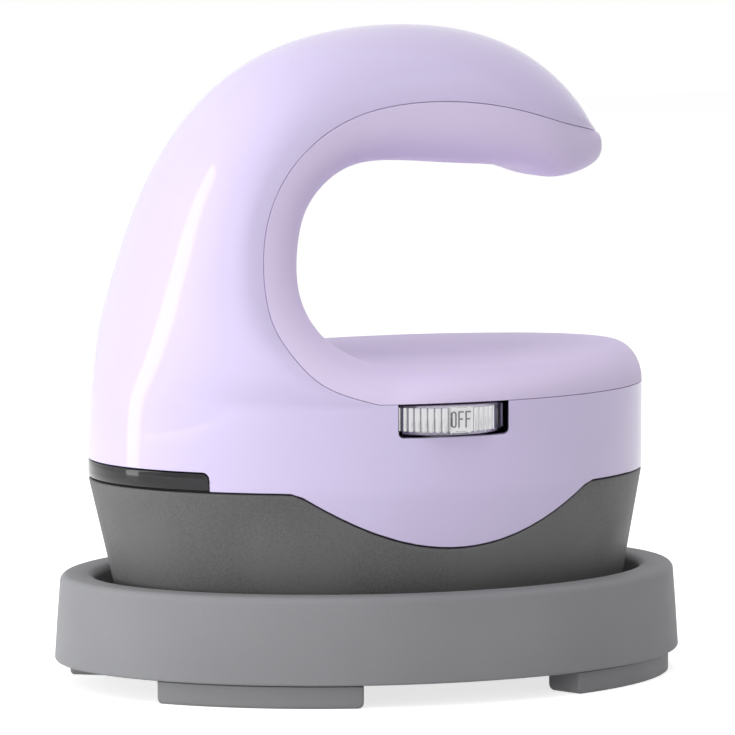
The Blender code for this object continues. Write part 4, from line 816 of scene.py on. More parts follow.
class MeshDraft:
    """Points and faces on their way to becoming a piece."""

    def __init__(self) -> None:
        """Start empty."""
        self.points: list[tuple[float, float, float]] = []
        self.faces: list[tuple[int, ...]] = []

    def ring(self, points: list) -> list[int]:
        """Add a row of points.

        Args:
            points: the places.

        Returns:
            Their numbers.
        """
        start = len(self.points)
        self.points.extend(tuple(point) for point in points)
        return list(range(start, len(self.points)))

    def bridge(self, rings: list[list[int]], closed: bool = True) -> None:
        """Skin between neighbouring rows of equal count.

        Args:
            rings: the rows.
            closed: whether each row is a loop.
        """
        for low, high in zip(rings, rings[1:]):
            count = len(low)
            for index in range(count if closed else count - 1):
                after = (index + 1) % count
                self.faces.append((low[index], low[after], high[after], high[index]))

    def stack(self, rows: list[list], capped: bool = True) -> None:
        """A solid from a stack of loops, or a tube closed on itself when it isn't capped.

        Args:
            rows: loops of places, from one end to the other.
            capped: whether both ends get a flat cap.
        """
        rings = [self.ring(row) for row in rows]
        if capped:
            self.bridge(rings)
            self.faces.append(tuple(reversed(rings[0])))
            self.faces.append(tuple(rings[-1]))
        else:
            self.bridge(rings + [rings[0]])

    def sheet(self, outer: dict, inner: dict, quads: list[tuple]) -> None:
        """A wall with thickness from one net of faces, its open edges closed by rims.

        Args:
            outer: place of each key on the outside.
            inner: place of the same key on the inside.
            quads: faces as tuples of keys, seen from outside.
        """
        numbers = []
        for places in (outer, inner):
            start = len(self.points)
            self.points.extend(tuple(places[key]) for key in outer)
            numbers.append({key: start + index for index, key in enumerate(outer)})
        edges: dict = {}
        for quad in quads:
            corners = [key for index, key in enumerate(quad) if key != quad[index - 1]]
            if len(set(corners)) < 3:
                continue
            self.faces.append(tuple(numbers[0][key] for key in corners))
            self.faces.append(tuple(numbers[1][key] for key in reversed(corners)))
            for index, key in enumerate(corners):
                pair = (corners[index - 1], key)
                edges[frozenset(pair)] = None if frozenset(pair) in edges else pair
        for pair in edges.values():
            if pair:
                a, b = pair
                self.faces.append((numbers[0][b], numbers[0][a], numbers[1][a], numbers[1][b]))

    def bmesh(self) -> bmesh.types.BMesh:
        """The draft as a cleaned mesh with outward faces.

        Returns:
            The mesh.
        """
        mesh = bpy.data.meshes.new("draft")
        mesh.from_pydata(self.points, [], self.faces)
        bm = bmesh.new()
        bm.from_mesh(mesh)
        bpy.data.meshes.remove(mesh)
        bmesh.ops.remove_doubles(bm, verts=bm.verts, dist=0.000001)
        bmesh.ops.dissolve_degenerate(bm, edges=bm.edges, dist=0.0000005)
        bmesh.ops.recalc_face_normals(bm, faces=bm.faces)
        return bm


@dataclass
class Workbench:
    """Puts drafts into the scene as finished pieces and keeps count of them."""

    frame: dict
    made: list[str] = field(default_factory=list)

    def place(self, draft: MeshDraft, name: str, finish: Finish, rider: Rider, stands_for: str = "",
              slot: str = "", rounding: float = 0.0, sharp: float = 38.0,
              crisp_beyond: float = math.inf) -> bpy.types.Object:
        """Make a piece from a draft.

        Args:
            draft: its mesh.
            name: the piece's name.
            finish: what it wears.
            rider: the body it moves with.
            stands_for: the CAD node that it takes the place of.
            slot: the record's material slot; not used.
            rounding: radius on its sharp edges.
            sharp: degrees above which an edge stays crisp.
            crisp_beyond: X beyond which no edge is rounded.

        Returns:
            The piece.
        """
        mesh = bpy.data.meshes.new(name)
        bm = draft.bmesh()
        if rounding:
            self.mark_rounded(bm, crisp_beyond)
        bm.to_mesh(mesh)
        bm.free()
        mesh.materials.append(finish.make())
        piece = bpy.data.objects.new(name, mesh)
        bpy.context.scene.collection.objects.link(piece)
        self.smooth(piece, sharp)
        if rounding:
            bevel = piece.modifiers.new("Rounded edges", "BEVEL")
            bevel.width, bevel.segments = rounding, 2
            bevel.limit_method, bevel.use_clamp_overlap = "WEIGHT", False
            bevel.harden_normals = True
        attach(piece, rider.value)
        if stands_for:
            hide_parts(stands_for)
        self.made.append(name)
        LOG.info("piece %s: %d faces, rides on %s", name, len(mesh.polygons), rider.value)
        return piece

    def mark_rounded(self, bm: bmesh.types.BMesh, crisp_beyond: float) -> None:
        """Mark the edges that are to be rounded.

        Args:
            bm: the mesh.
            crisp_beyond: X beyond which no edge is rounded.
        """
        weight = bm.edges.layers.float.new("bevel_weight_edge")
        for edge in bm.edges:
            if edge.calc_face_angle(0.0) > math.radians(50.0) and max(v.co.x for v in edge.verts) < crisp_beyond:
                edge[weight] = 1.0

    def smooth(self, piece: bpy.types.Object, sharp: float) -> None:
        """Smooth shading with crisp edges above an angle."""
        piece.data.shade_smooth()
        piece.data.set_sharp_from_angle(angle=math.radians(sharp))

    def carve(self, piece: bpy.types.Object, draft: MeshDraft, operation: str = "DIFFERENCE",
              sharp: float = 38.0) -> None:
        """Cut a draft out of a piece, or join it to it.

        Args:
            piece: the piece, before its edges are rounded.
            draft: the cutter or the addition.
            operation: DIFFERENCE or UNION.
            sharp: degrees above which an edge stays crisp.
        """
        mesh = bpy.data.meshes.new("tool")
        bm = draft.bmesh()
        bm.to_mesh(mesh)
        bm.free()
        tool = bpy.data.objects.new("tool", mesh)
        bpy.context.scene.collection.objects.link(tool)
        kept = piece.modifiers.get("Rounded edges")
        if kept:
            kept.show_viewport = False
        modifier = piece.modifiers.new("Carve", "BOOLEAN")
        modifier.operation, modifier.solver, modifier.object = operation, "EXACT", tool
        bpy.context.view_layer.update()
        graph = bpy.context.evaluated_depsgraph_get()
        result = bpy.data.meshes.new_from_object(piece.evaluated_get(graph))
        piece.modifiers.remove(modifier)
        result.name = piece.name
        piece.data = result
        if kept:
            kept.show_viewport = True
        bpy.data.objects.remove(tool, do_unlink=True)
        self.smooth(piece, sharp)

    def dress(self, node: str, finish: Finish) -> None:
        """Give a CAD node a finish.

        Args:
            node: its name.
            finish: what it wears.
        """
        piece = self.frame["nodes"][node]
        for slot in piece.material_slots:
            slot.material = finish.make()
        piece.data.shade_smooth()
        piece.data.set_sharp_from_angle(angle=math.radians(35.0))
        self.made.append(node)
        LOG.info("node %s wears %s", node, finish.name)


def quarter(steps: int) -> list[float]:
    """Turns from 0 to a right angle."""
    return [math.pi / 2 * step / steps for step in range(steps + 1)]


# The press


@dataclass
class OuterShell:
    """Lavender hood: body wall, back of the handle and grip top in one moulding."""

    form: PressForm
    finish: Finish
    wall: float = 0.0022
    window_rise: float = 0.0039
    window_half_angle: float = math.radians(45.5)
    window_corner: float = 0.0016
    slot_x: float = -0.0011
    slot_half: float = 0.0123
    slot_bottom: float = 0.0546
    slot_corner: float = 0.0012
    slot_flare: float = 0.0014
    gland_height: float = 0.0480
    gland_radius: float = 0.0058
    front_steps: int = 84
    rear_steps: int = 72
    lower_shares: tuple[float, ...] = (0.0, 0.2, 0.4, 0.58, 0.72, 0.84, 0.93, 1.0)
    middle_steps: int = 5
    upper_steps: int = 5

    def slot_stops(self) -> list[Pair]:
        """Directions across the dial's slot and the height of its lower edge at each.

        Returns:
            Directions, rising, and heights.
        """
        places = []
        for turn in quarter(4):
            run = self.slot_half - self.slot_corner * (1 - math.cos(turn))
            places.append((run, self.slot_bottom + self.slot_corner * (1 - math.sin(turn))))
        flat = self.slot_half - self.slot_corner
        across = [(-x, z) for x, z in places] + [(flat * (i / 4 - 1), self.slot_bottom) for i in range(1, 8)]
        across += list(reversed(places))
        stops = []
        for offset, height in across:
            angle = -self.form.body.direction_at(self.slot_x + offset, 0.0, math.pi)
            stops.append((angle, height))
        return stops

    def window_stops(self) -> list[Pair]:
        """Directions across the smoked window and the height of its upper edge at each.

        Returns:
            Directions, rising, and heights.
        """
        top = self.form.wave_top + self.window_rise
        bend = self.form.body.bend(math.pi - self.window_half_angle)
        corner = []
        for turn in quarter(4):
            run = self.window_corner * (1 - math.cos(turn))
            corner.append((self.window_half_angle - run / bend, top - self.window_corner * (1 - math.sin(turn))))
        last = corner[-1][0]
        flat = [(last * (1 - 2 * i / 28), top) for i in range(1, 28)]
        offsets = corner + flat + [(-a, h) for a, h in reversed(corner)]
        return [(math.pi - a, h) for a, h in offsets]

    def columns(self) -> list[float]:
        """Directions of the body's columns, from the near seam's turn round the front and back to it.

        Returns:
            Directions, rising over one full turn, the last one left out.
        """
        turn = self.form.turn
        plain = [-turn + 2 * turn * i / self.front_steps for i in range(self.front_steps)]
        plain += [turn + 2 * (math.pi - turn) * i / self.rear_steps for i in range(self.rear_steps)]
        fixed = [angle for angle, _ in self.slot_stops() + self.window_stops()]
        fixed += [-turn, turn]
        spans = ((self.slot_stops()[0][0], self.slot_stops()[-1][0]),
                 (self.window_stops()[0][0], self.window_stops()[-1][0]))
        near = math.radians(0.9)
        kept = [a for a in plain if all(abs(a - f) > near for f in fixed)
                and not any(low < a < high for low, high in spans)]
        return sorted(kept + sorted(set(fixed)))

    def row_heights(self, angle: float, base: float) -> list[float]:
        """Heights of the body's rows in one direction, from the wavy edge to the seam.

        Args:
            angle: the column's direction.
            base: height of the wavy edge there.

        Returns:
            The heights.
        """
        form = self.form
        window = dict(self.window_stops()).get(angle, form.wave_top + self.window_rise - self.window_corner)
        slot = dict(self.slot_stops()).get(angle, self.slot_bottom + self.slot_corner)
        heights = [base + (window - base) * share for share in self.lower_shares]
        heights += [window + (slot - window) * i / self.middle_steps for i in range(1, self.middle_steps + 1)]
        heights += [slot + (form.seam_height - slot) * i / self.upper_steps for i in range(1, self.upper_steps + 1)]
        return heights

    def flared(self, angle: float, amount: float) -> float:
        """Direction on the inside of the wall, where the dial's slot widens inward.

        Args:
            angle: direction on the outside.
            amount: share of the full flare at this height.

        Returns:
            The direction.
        """
        low, high = self.slot_stops()[0][0], self.slot_stops()[-1][0]
        middle, half = (low + high) / 2, (high - low) / 2
        away = (angle - middle + math.pi) % (2 * math.pi) - math.pi
        flare = self.slot_flare * amount / self.form.body.bend(middle)
        fade = 1 - max(abs(away) - half, 0.0) / (3 * self.slot_flare / self.form.body.bend(middle))
        return angle + math.copysign(flare * max(fade, 0.0) * min(abs(away) / half, 1.0), away)

    def back_row(self, section: Section, angles: list[float], inset: float) -> list[Vector]:
        """One arc over the handle's back.

        Args:
            section: the handle's section there.
            angles: the rear columns' directions, seam to seam.
            inset: depth under the skin.

        Returns:
            The arc's points.
        """
        outward = section.spine - section.seam
        depth = outward.length
        if min(depth, section.half) - inset < 0.00005:
            return [Vector((section.seam.x, 0.0, section.seam.y))] * len(angles)
        reach, half = outward * ((depth - inset) / depth), section.half - inset
        turn_x, turn_y = self.form.body.point(angles[0])
        row = []
        for angle in angles:
            x, y = self.form.body.point(angle)
            across = max(min(y / turn_y, 1.0), -1.0)
            on_oval = (turn_x - x) / (turn_x + self.form.body.half_length)
            on_ellipse = math.sqrt(1 - across * across)
            out = on_oval + (on_ellipse - on_oval) * section.mix
            row.append(Vector((section.seam.x + reach.x * out, half * across, section.seam.y + reach.y * out)))
        return row

    def net(self) -> tuple[dict, dict, list[tuple]]:
        """The shell's net: places outside and inside, and the faces.

        Returns:
            Outer places, inner places and faces by key.
        """
        form, angles = self.form, self.columns()
        count = len(angles)
        sides = ({}, {})
        row_count = 0
        window_row = len(self.lower_shares) - 1
        slot_row = window_row + self.middle_steps
        for column, angle in enumerate(angles):
            heights = self.row_heights(angle, form.wave(angle, 0.0).z)
            row_count = len(heights)
            for row, height in enumerate(heights):
                upper = min(max((row - window_row) / self.middle_steps, 0.0), 1.0)
                sides[0][row, column] = form.skin(angle, height, 0.0)
                sides[1][row, column] = form.skin(self.flared(angle, upper), height, self.wall)
        slot_low, slot_high = self.slot_stops()[0][0], self.slot_stops()[-1][0]
        window_low, window_high = self.window_stops()[0][0], self.window_stops()[-1][0]
        quads = []
        for row in range(row_count - 1):
            for column, angle in enumerate(angles):
                after = (column + 1) % count
                middle = angle + ((angles[after] - angle) % (2 * math.pi)) / 2
                in_slot = row >= slot_row and slot_low < middle < slot_high
                in_window = row < window_row and window_low < middle < window_high
                if not in_slot and not in_window:
                    quads.append(((row, column), (row, after), (row + 1, after), (row + 1, column)))
        first = next(i for i, a in enumerate(angles) if abs(a - form.turn) < 1e-9)
        rear = [i % count for i in range(first, count + 1)]
        directions = [angles[i] if i else angles[0] + 2 * math.pi for i in rear]
        last = [(row_count - 1, i) for i in rear]
        for number, share in enumerate(form.handle_shares()):
            section = form.section(share)
            keys = [("handle", number, i) for i in range(len(rear))]
            if share >= 1:
                keys = ["nose"] * len(rear)
            for places, inset in zip(sides, (0.0, self.wall)):
                for key, point in zip(keys, self.back_row(section, directions, inset)):
                    places[key] = point
            for i in range(len(rear) - 1):
                quads.append((last[i], last[i + 1], keys[i + 1], keys[i]))
            last = keys
        return sides[0], sides[1], quads

    def build(self, bench: Workbench) -> None:
        """Build the shell and bore it for the gland.

        Args:
            bench: where the piece is placed.
        """
        draft = MeshDraft()
        outer, inner, quads = self.net()
        draft.sheet(outer, inner, quads)
        shell = bench.place(draft, "lavender_shell", self.finish, Rider.PRESS, "outer_shell", "lavender_shell",
                            rounding=0.00016, crisp_beyond=0.0470)
        bore = MeshDraft()
        rows = []
        for y in (0.030, 0.060):
            rows.append([(self.slot_x + self.gland_radius * math.cos(a), y,
                          self.gland_height + self.gland_radius * math.sin(a)) for a in full_turn(48)])
        bore.stack(rows)
        bench.carve(shell, bore)


@dataclass
class InnerCover:
    """Lavender inner moulding: deck, inside of the C and underside of the grip."""

    form: PressForm
    finish: Finish
    wall: float = 0.0022
    gap: float = 0.00010
    lean_start: float = 0.45
    fade_end: float = 0.2
    front_rows: int = 72
    corner_steps: int = 12
    middle_steps: int = 6

    def deck_section(self, angle: float) -> Section:
        """Section of the deck in a direction. Towards the handle the rows lean forward.

        Args:
            angle: outward direction of the far seam point.

        Returns:
            The section.
        """
        form = self.form
        x, y = form.body.point(angle)
        x = form.trimmed(x)
        share = max((angle / form.turn - self.lean_start) / (1 - self.lean_start), 0.0)
        lean = form.root_lean * share * share * (3 - 2 * share)
        seam, palm = Vector((x, form.seam_height)), Vector((x + lean, form.deck_height(x + lean)))
        fillet = form.deck_fillet + (form.front_fillet - form.deck_fillet) * max(math.cos(angle), 0.0) ** 2
        return Section(seam, seam, palm, max(y, 0.0), fillet, form.POWER[0], 0.0)

    def row(self, section: Section, direction: Vector, upright: float, inset: float) -> list[Vector]:
        """One row from the far seam round the inner side to the near seam.

        Args:
            section: the section there.
            direction: outward direction in plan at the far seam.
            upright: 1 on the deck, fading to 0 along the handle.
            inset: depth under the skin.

        Returns:
            The row's points.
        """
        deep = section.palm - section.seam
        depth = deep.length
        toward = deep / depth if depth > 0 else Vector((0.0, -1.0))
        base = section.seam + toward * self.gap
        count = 2 * (self.corner_steps + 1) + self.middle_steps - 1
        if upright == 0 and min(depth - self.gap, section.half) - inset < 0.00005:
            return [Vector((base.x, 0.0, base.y))] * count
        slant = 1 + (1 / toward.y - 1) * upright if upright > 0 else 1
        reach = depth - self.gap - inset * slant
        width = section.corner - inset / 2
        far = []
        for turn in quarter(self.corner_steps):
            inward = inset + width * (1 - max(math.cos(turn), 0.0) ** (2 / section.power))
            rise = reach * math.sin(turn) ** (2 / section.power)
            far.append(Vector((base.x + toward.x * rise - direction.x * inward,
                               section.half - direction.y * inward, base.y + toward.y * rise)))
        near = [Vector((p.x, -p.y, p.z)) for p in reversed(far)]
        middle = [far[-1].lerp(near[0], i / self.middle_steps) for i in range(1, self.middle_steps)]
        return far + middle + near

    def rows(self, inset: float) -> list[list[Vector]]:
        """All rows from the front of the deck to the nose of the grip.

        Args:
            inset: depth under the skin.

        Returns:
            The rows.
        """
        form, rows = self.form, []
        for step in range(self.front_rows + 1):
            angle = form.turn * step / self.front_rows
            rows.append(self.row(self.deck_section(angle), Vector((math.cos(angle), math.sin(angle))), 1.0, inset))
        for share in form.handle_shares():
            fade = max(1 - share / self.fade_end, 0.0)
            tilt = math.cos(form.turn) * fade
            direction = Vector((tilt, math.sqrt(1 - tilt * tilt)))
            section = form.section(share)
            row = self.row(section, direction, fade, inset)
            rows.append([form.rounded(point, section.seam) for point in row])
        return rows

    def build(self, bench: Workbench) -> None:
        """Build the cover.

        Args:
            bench: where the piece is placed.
        """
        outer_rows, inner_rows = self.rows(0.0), self.rows(self.wall)
        width, last = len(outer_rows[0]), len(outer_rows) - 1
        outer, inner = {}, {}

        def key(row: int, column: int) -> tuple | str:
            """Key of a grid place: the front row is folded on itself and the nose is one point."""
            if row == last:
                return "nose"
            if row == 0:
                return (0, min(column, width - 1 - column, self.corner_steps))
            return row, column

        for row in range(last + 1):
            for column in range(width):
                if key(row, column) not in outer:
                    outer[key(row, column)] = outer_rows[row][column]
                    inner[key(row, column)] = inner_rows[row][column]
        quads = [(key(r, c), key(r + 1, c), key(r + 1, c + 1), key(r, c + 1))
                 for r in range(last) for c in range(width - 1)]
        draft = MeshDraft()
        draft.sheet(outer, inner, quads)
        bench.place(draft, "lavender_cover", self.finish, Rider.PRESS, "inner_cover", "lavender_cover",
                    rounding=0.00012)


@dataclass
class DarkSkirt:
    """Heatproof skirt: a tapered wall with a wavy upper edge, a floor web and a register tongue."""

    form: PressForm
    finish: Finish
    bottom: float = 0.0172
    wall: float = 0.0024
    lower_round: float = 0.0008
    upper_round: float = 0.0004
    web_bottom: float = 0.0265
    web_top: float = 0.0290
    tongue_outer: float = 0.0025
    tongue_inner: float = 0.0038
    tongue_rise: float = 0.0012
    gap: float = 0.00035
    steps: int = 168
    wall_rows: int = 9

    def build(self, bench: Workbench) -> None:
        """Build the skirt.

        Args:
            bench: where the piece is placed.
        """
        angles = full_turn(self.steps)
        form = self.form

        def level(inset: float, height: float) -> list[Vector]:
            """A level loop under the skin."""
            return [form.skin(a, height, inset) for a in angles]

        def under_edge(inset: float, lift: float) -> list[Vector]:
            """A loop that follows the wavy edge."""
            return [form.wave(a, inset, self.gap - lift) for a in angles]

        rows = [level(self.wall, self.web_bottom), level(self.wall, self.bottom + self.lower_round / 2)]
        for turn in quarter(4):
            rows.append(level(self.lower_round * (1 - math.sin(turn)),
                              self.bottom + self.lower_round * (1 - math.cos(turn))))
        top = under_edge(0.0, -self.upper_round)
        start = self.bottom + self.lower_round
        for step in range(1, self.wall_rows):
            share = 1 - (1 - step / self.wall_rows) ** 1.4
            rows.append([form.skin(a, start + (high.z - start) * share, 0.0) for a, high in zip(angles, top)])
        for turn in quarter(3):
            rows.append(under_edge(self.upper_round * (1 - math.cos(turn)),
                                   -self.upper_round * (1 - math.sin(turn))))
        rows.append(under_edge(self.tongue_outer, 0.0))
        rows.append(under_edge(self.tongue_outer, self.tongue_rise))
        rows.append(under_edge(self.tongue_inner, self.tongue_rise))
        rows.append(level(self.tongue_inner, self.web_top))
        draft = MeshDraft()
        draft.stack(rows)
        bench.place(draft, "dark_skirt", self.finish, Rider.PRESS, "base_housing", "dark_skirt")


@dataclass
class IndicatorWindow:
    """Smoked window let into the shell round its rear, with softened edges."""

    form: PressForm
    finish: Finish
    shell: OuterShell
    gap: float = 0.00022
    rounding: float = 0.00035

    def build(self, bench: Workbench) -> None:
        """Build the window.

        Args:
            bench: where the piece is placed.
        """
        form, shell = self.form, self.shell
        stops = shell.window_stops()
        end_gap = self.gap / form.body.bend(stops[0][0])
        middle = math.pi
        half = shell.window_half_angle
        rows = []
        for angle, top in stops:
            drawn = middle + (angle - middle) * (half - end_gap) / half
            high = top - self.gap
            section = [form.skin(drawn, form.wave_top, shell.wall)]
            section.append(form.skin(drawn, form.wave_top, self.rounding))
            section.append(form.skin(drawn, form.wave_top + self.rounding, 0.0))
            for share in (0.33, 0.67):
                low = form.wave_top + self.rounding
                section.append(form.skin(drawn, low + (high - self.rounding - low) * share, 0.0))
            for turn in quarter(2):
                inset = self.rounding * (1 - math.cos(turn))
                section.append(form.skin(drawn, high - self.rounding * (1 - math.sin(turn)), inset))
            section.append(form.skin(drawn, high, shell.wall))
            rows.append(section)
        draft = MeshDraft()
        draft.stack(rows)
        bench.place(draft, "smoked_window", self.finish, Rider.PRESS, "indicator_lens", "smoked_window",
                    sharp=50.0)


# Figures on the dial


class Figure(Enum):
    """What is cut into each panel of the dial."""

    OFF = "OFF"
    ONE = "1"
    TWO = "2"
    THREE = "3"


@dataclass(frozen=True)
class StrokeAlphabet:
    """Narrow upright letters from strokes of one width, in units of their height."""

    stroke: float = 0.095
    width: float = 0.36
    space: float = 0.11

    def strokes(self, sign: str) -> list[list[Pair]]:
        """Centre lines of one sign. A line that ends where it starts is a loop.

        Args:
            sign: the letter or digit.

        Returns:
            The lines.
        """
        w, s = self.width, self.stroke / 2
        left, right, low, high, mid = s, w - s, s, 1 - s, 0.5
        c = 0.12
        if sign == "O":
            loop = [(left, low + c), (left + c * 0.3, low + c * 0.3), (left + c, low), (right - c, low),
                    (right - c * 0.3, low + c * 0.3), (right, low + c), (right, high - c),
                    (right - c * 0.3, high - c * 0.3), (right - c, high), (left + c, high),
                    (left + c * 0.3, high - c * 0.3), (left, high - c)]
            return [loop + [loop[0]]]
        if sign == "F":
            return [[(left, 0.0), (left, high), (w, high)], [(left + s, mid + 0.02), (w - 0.06, mid + 0.02)]]
        if sign == "1":
            return [[(left + 0.02, high - 0.16), (w / 2, high - 0.02), (w / 2, 0.0)]]
        if sign == "2":
            return [[(left, high - 0.18), (left + 0.05, high - 0.04), (w / 2, high), (right - 0.05, high - 0.04),
                     (right, high - 0.18), (right - 0.02, mid + 0.06), (left, low + 0.08), (left, low), (w, low)]]
        upper = [(left, high - 0.14), (left + 0.06, high - 0.03), (w / 2, high), (right - 0.05, high - 0.04),
                 (right, high - 0.16), (right - 0.03, mid + 0.08), (w / 2, mid + 0.01)]
        lower = [(w / 2, mid + 0.01), (right - 0.03, mid - 0.06), (right, low + 0.16), (right - 0.05, low + 0.04),
                 (w / 2, low), (left + 0.06, low + 0.03), (left, low + 0.14)]
        return [upper + lower[1:]]

    def ribbon(self, line: list[Pair]) -> tuple[list[Pair], list[Pair]]:
        """Left and right edges of a stroke, mitred at its corners.

        Args:
            line: its centre line.

        Returns:
            The two edges.
        """
        loop = line[0] == line[-1]
        points = [Vector(p) for p in (line[:-1] if loop else line)]
        count = len(points)
        edges = ([], [])
        for i, point in enumerate(points):
            before = points[i - 1] if loop or i else None
            after = points[(i + 1) % count] if loop or i < count - 1 else None
            ways = [(b - a).normalized() for a, b in ((before, point), (point, after)) if a and b]
            normals = [Vector((-w.y, w.x)) for w in ways]
            normal = sum(normals, Vector((0.0, 0.0))).normalized()
            reach = self.stroke / 2 / max(normal.dot(normals[0]), 0.5)
            edges[0].append(tuple(point + normal * reach))
            edges[1].append(tuple(point - normal * reach))
        if loop:
            for edge in edges:
                edge.append(edge[0])
        return edges


@dataclass
class DialWheel:
    """Silver edge wheel with a fluted rim and a flat panel for each setting."""

    finish: Finish
    ink: Finish
    steel: Finish
    x: float = -0.0011
    y: float = -0.0345
    radius: float = 0.0148
    bottom: float = 0.0552
    top: float = 0.0612
    flutes: int = 64
    flute_depth: float = 0.00050
    lower_band: float = 0.0008
    upper_band: float = 0.0004
    panel_width: float = 0.0056
    panel_rim: float = 0.00045
    hub_radius: float = 0.0056
    hub_drop: float = 0.0010
    bore_radius: float = 0.0033
    bore_top: float = 0.0605
    figure_height: float = 0.0034
    figure_depth: float = 0.00006
    settings: tuple[Figure, ...] = (Figure.OFF, Figure.ONE, Figure.TWO, Figure.THREE)
    pitch: float = math.radians(45.0)
    samples: int = 12

    def rim_radius(self, angle: float, depth: float) -> float:
        """Radius of the rim in a direction.

        Args:
            angle: direction from the wheel's axis.
            depth: how deep the flutes are at this height.

        Returns:
            The radius.
        """
        half = math.asin(self.panel_width / 2 / self.radius)
        rim = math.asin((self.panel_width / 2 - self.panel_rim) / self.radius)
        for number in range(len(self.settings)):
            away = (angle + math.pi / 2 - number * self.pitch + math.pi) % (2 * math.pi) - math.pi
            if abs(away) <= rim:
                return (self.radius - self.flute_depth * 0.75) * math.cos(rim) / math.cos(away)
            if abs(away) <= half:
                swell = math.sin(math.pi * (abs(away) - rim) / (half - rim))
                return self.radius - self.flute_depth * 0.75 * (1 - 0.8 * swell)
        phase = (angle / (2 * math.pi) * self.flutes) % 1.0 - 0.5
        lobe = math.sqrt(max(1 - (2 * phase) ** 2 * 0.99, 0.0))
        return self.radius - depth * (1 - lobe)

    def build(self, bench: Workbench) -> None:
        """Build the wheel and its figures.

        Args:
            bench: where the pieces are placed.
        """
        count = self.flutes * self.samples
        smooth = self.radius - self.flute_depth
        rows = []

        def loop(height: float, depth: float, radius: float = 0.0) -> None:
            """Add one level loop, fluted where no plain radius is given."""
            row = []
            for angle in full_turn(count):
                r = radius if radius else self.rim_radius(angle, depth)
                row.append((self.x + r * math.cos(angle), self.y + r * math.sin(angle), height))
            rows.append(row)

        low, high = self.bottom + self.lower_band, self.top - self.upper_band
        loop(self.bottom, 0.0, smooth - 0.0006)
        loop(self.bottom + 0.00015, 0.0, smooth - 0.00025)
        loop(low - 0.0001, 0.0, smooth + 0.0001)
        loop(low, self.flute_depth * 0.4)
        loop(low + 0.00012, self.flute_depth)
        loop(high - 0.00012, self.flute_depth)
        loop(high, self.flute_depth * 0.4)
        loop(high + 0.0001, 0.0, smooth + 0.0001)
        loop(self.top - 0.0001, 0.0, smooth - 0.0001)
        loop(self.top, 0.0, smooth - 0.0004)
        draft = MeshDraft()
        draft.stack(rows)
        wheel = bench.place(draft, "silver_dial", self.finish, Rider.DIAL, "dial_wheel", "silver_plating",
                            sharp=42.0)
        bench.carve(wheel, self._turned([(self.hub_radius, self.bottom - self.hub_drop),
                                         (self.hub_radius, self.bottom + 0.001)]), "UNION", 42.0)
        bench.carve(wheel, self._turned([(self.bore_radius, self.bottom - 0.003),
                                         (self.bore_radius, self.bore_top)]), sharp=42.0)
        bench.place(self._figures(), "dial_figures", self.ink, Rider.DIAL)
        bench.dress("dial_shaft", self.steel)

    def _turned(self, profile: list[Pair]) -> MeshDraft:
        """A solid turned about the wheel's axis.

        Args:
            profile: radius and height pairs.

        Returns:
            The draft.
        """
        draft = MeshDraft()
        draft.stack([[(self.x + r * math.cos(a), self.y + r * math.sin(a), z) for a in full_turn(48)]
                     for r, z in profile])
        return draft

    def _figures(self) -> MeshDraft:
        """The figure on each panel, as thin inlays.

        Returns:
            The draft.
        """
        alphabet, draft = StrokeAlphabet(), MeshDraft()
        rim = math.asin((self.panel_width / 2 - self.panel_rim) / self.radius)
        plane = (self.radius - self.flute_depth * 0.75) * math.cos(rim)
        middle = (self.bottom + self.lower_band + self.top - self.upper_band) / 2
        for number, figure in enumerate(self.settings):
            angle = number * self.pitch - math.pi / 2
            out = Vector((math.cos(angle), math.sin(angle), 0.0))
            along = Vector((-math.sin(angle), math.cos(angle), 0.0))
            letters = figure.value
            advance = alphabet.width + alphabet.space
            span = len(letters) * advance - alphabet.space
            for place, sign in enumerate(letters):
                for line in alphabet.strokes(sign):
                    left, right = alphabet.ribbon(line)
                    loops = []
                    for depth in (-self.figure_depth, self.figure_depth):
                        for edge in (left, right):
                            row = []
                            for u, v in edge:
                                side = (u + place * advance - span / 2) * self.figure_height
                                up = (v - 0.5) * self.figure_height
                                point = Vector((self.x, self.y, middle + up)) + along * side
                                row.append(point + out * (plane + depth))
                            loops.append(draft.ring(row))
                    back_left, back_right, left_row, right_row = loops
                    draft.bridge([back_left, left_row, right_row, back_right, back_left], closed=False)
                    for end in (0, -1):
                        draft.faces.append((back_left[end], left_row[end], right_row[end], back_right[end]))
        return draft


# The tray and what lies in it


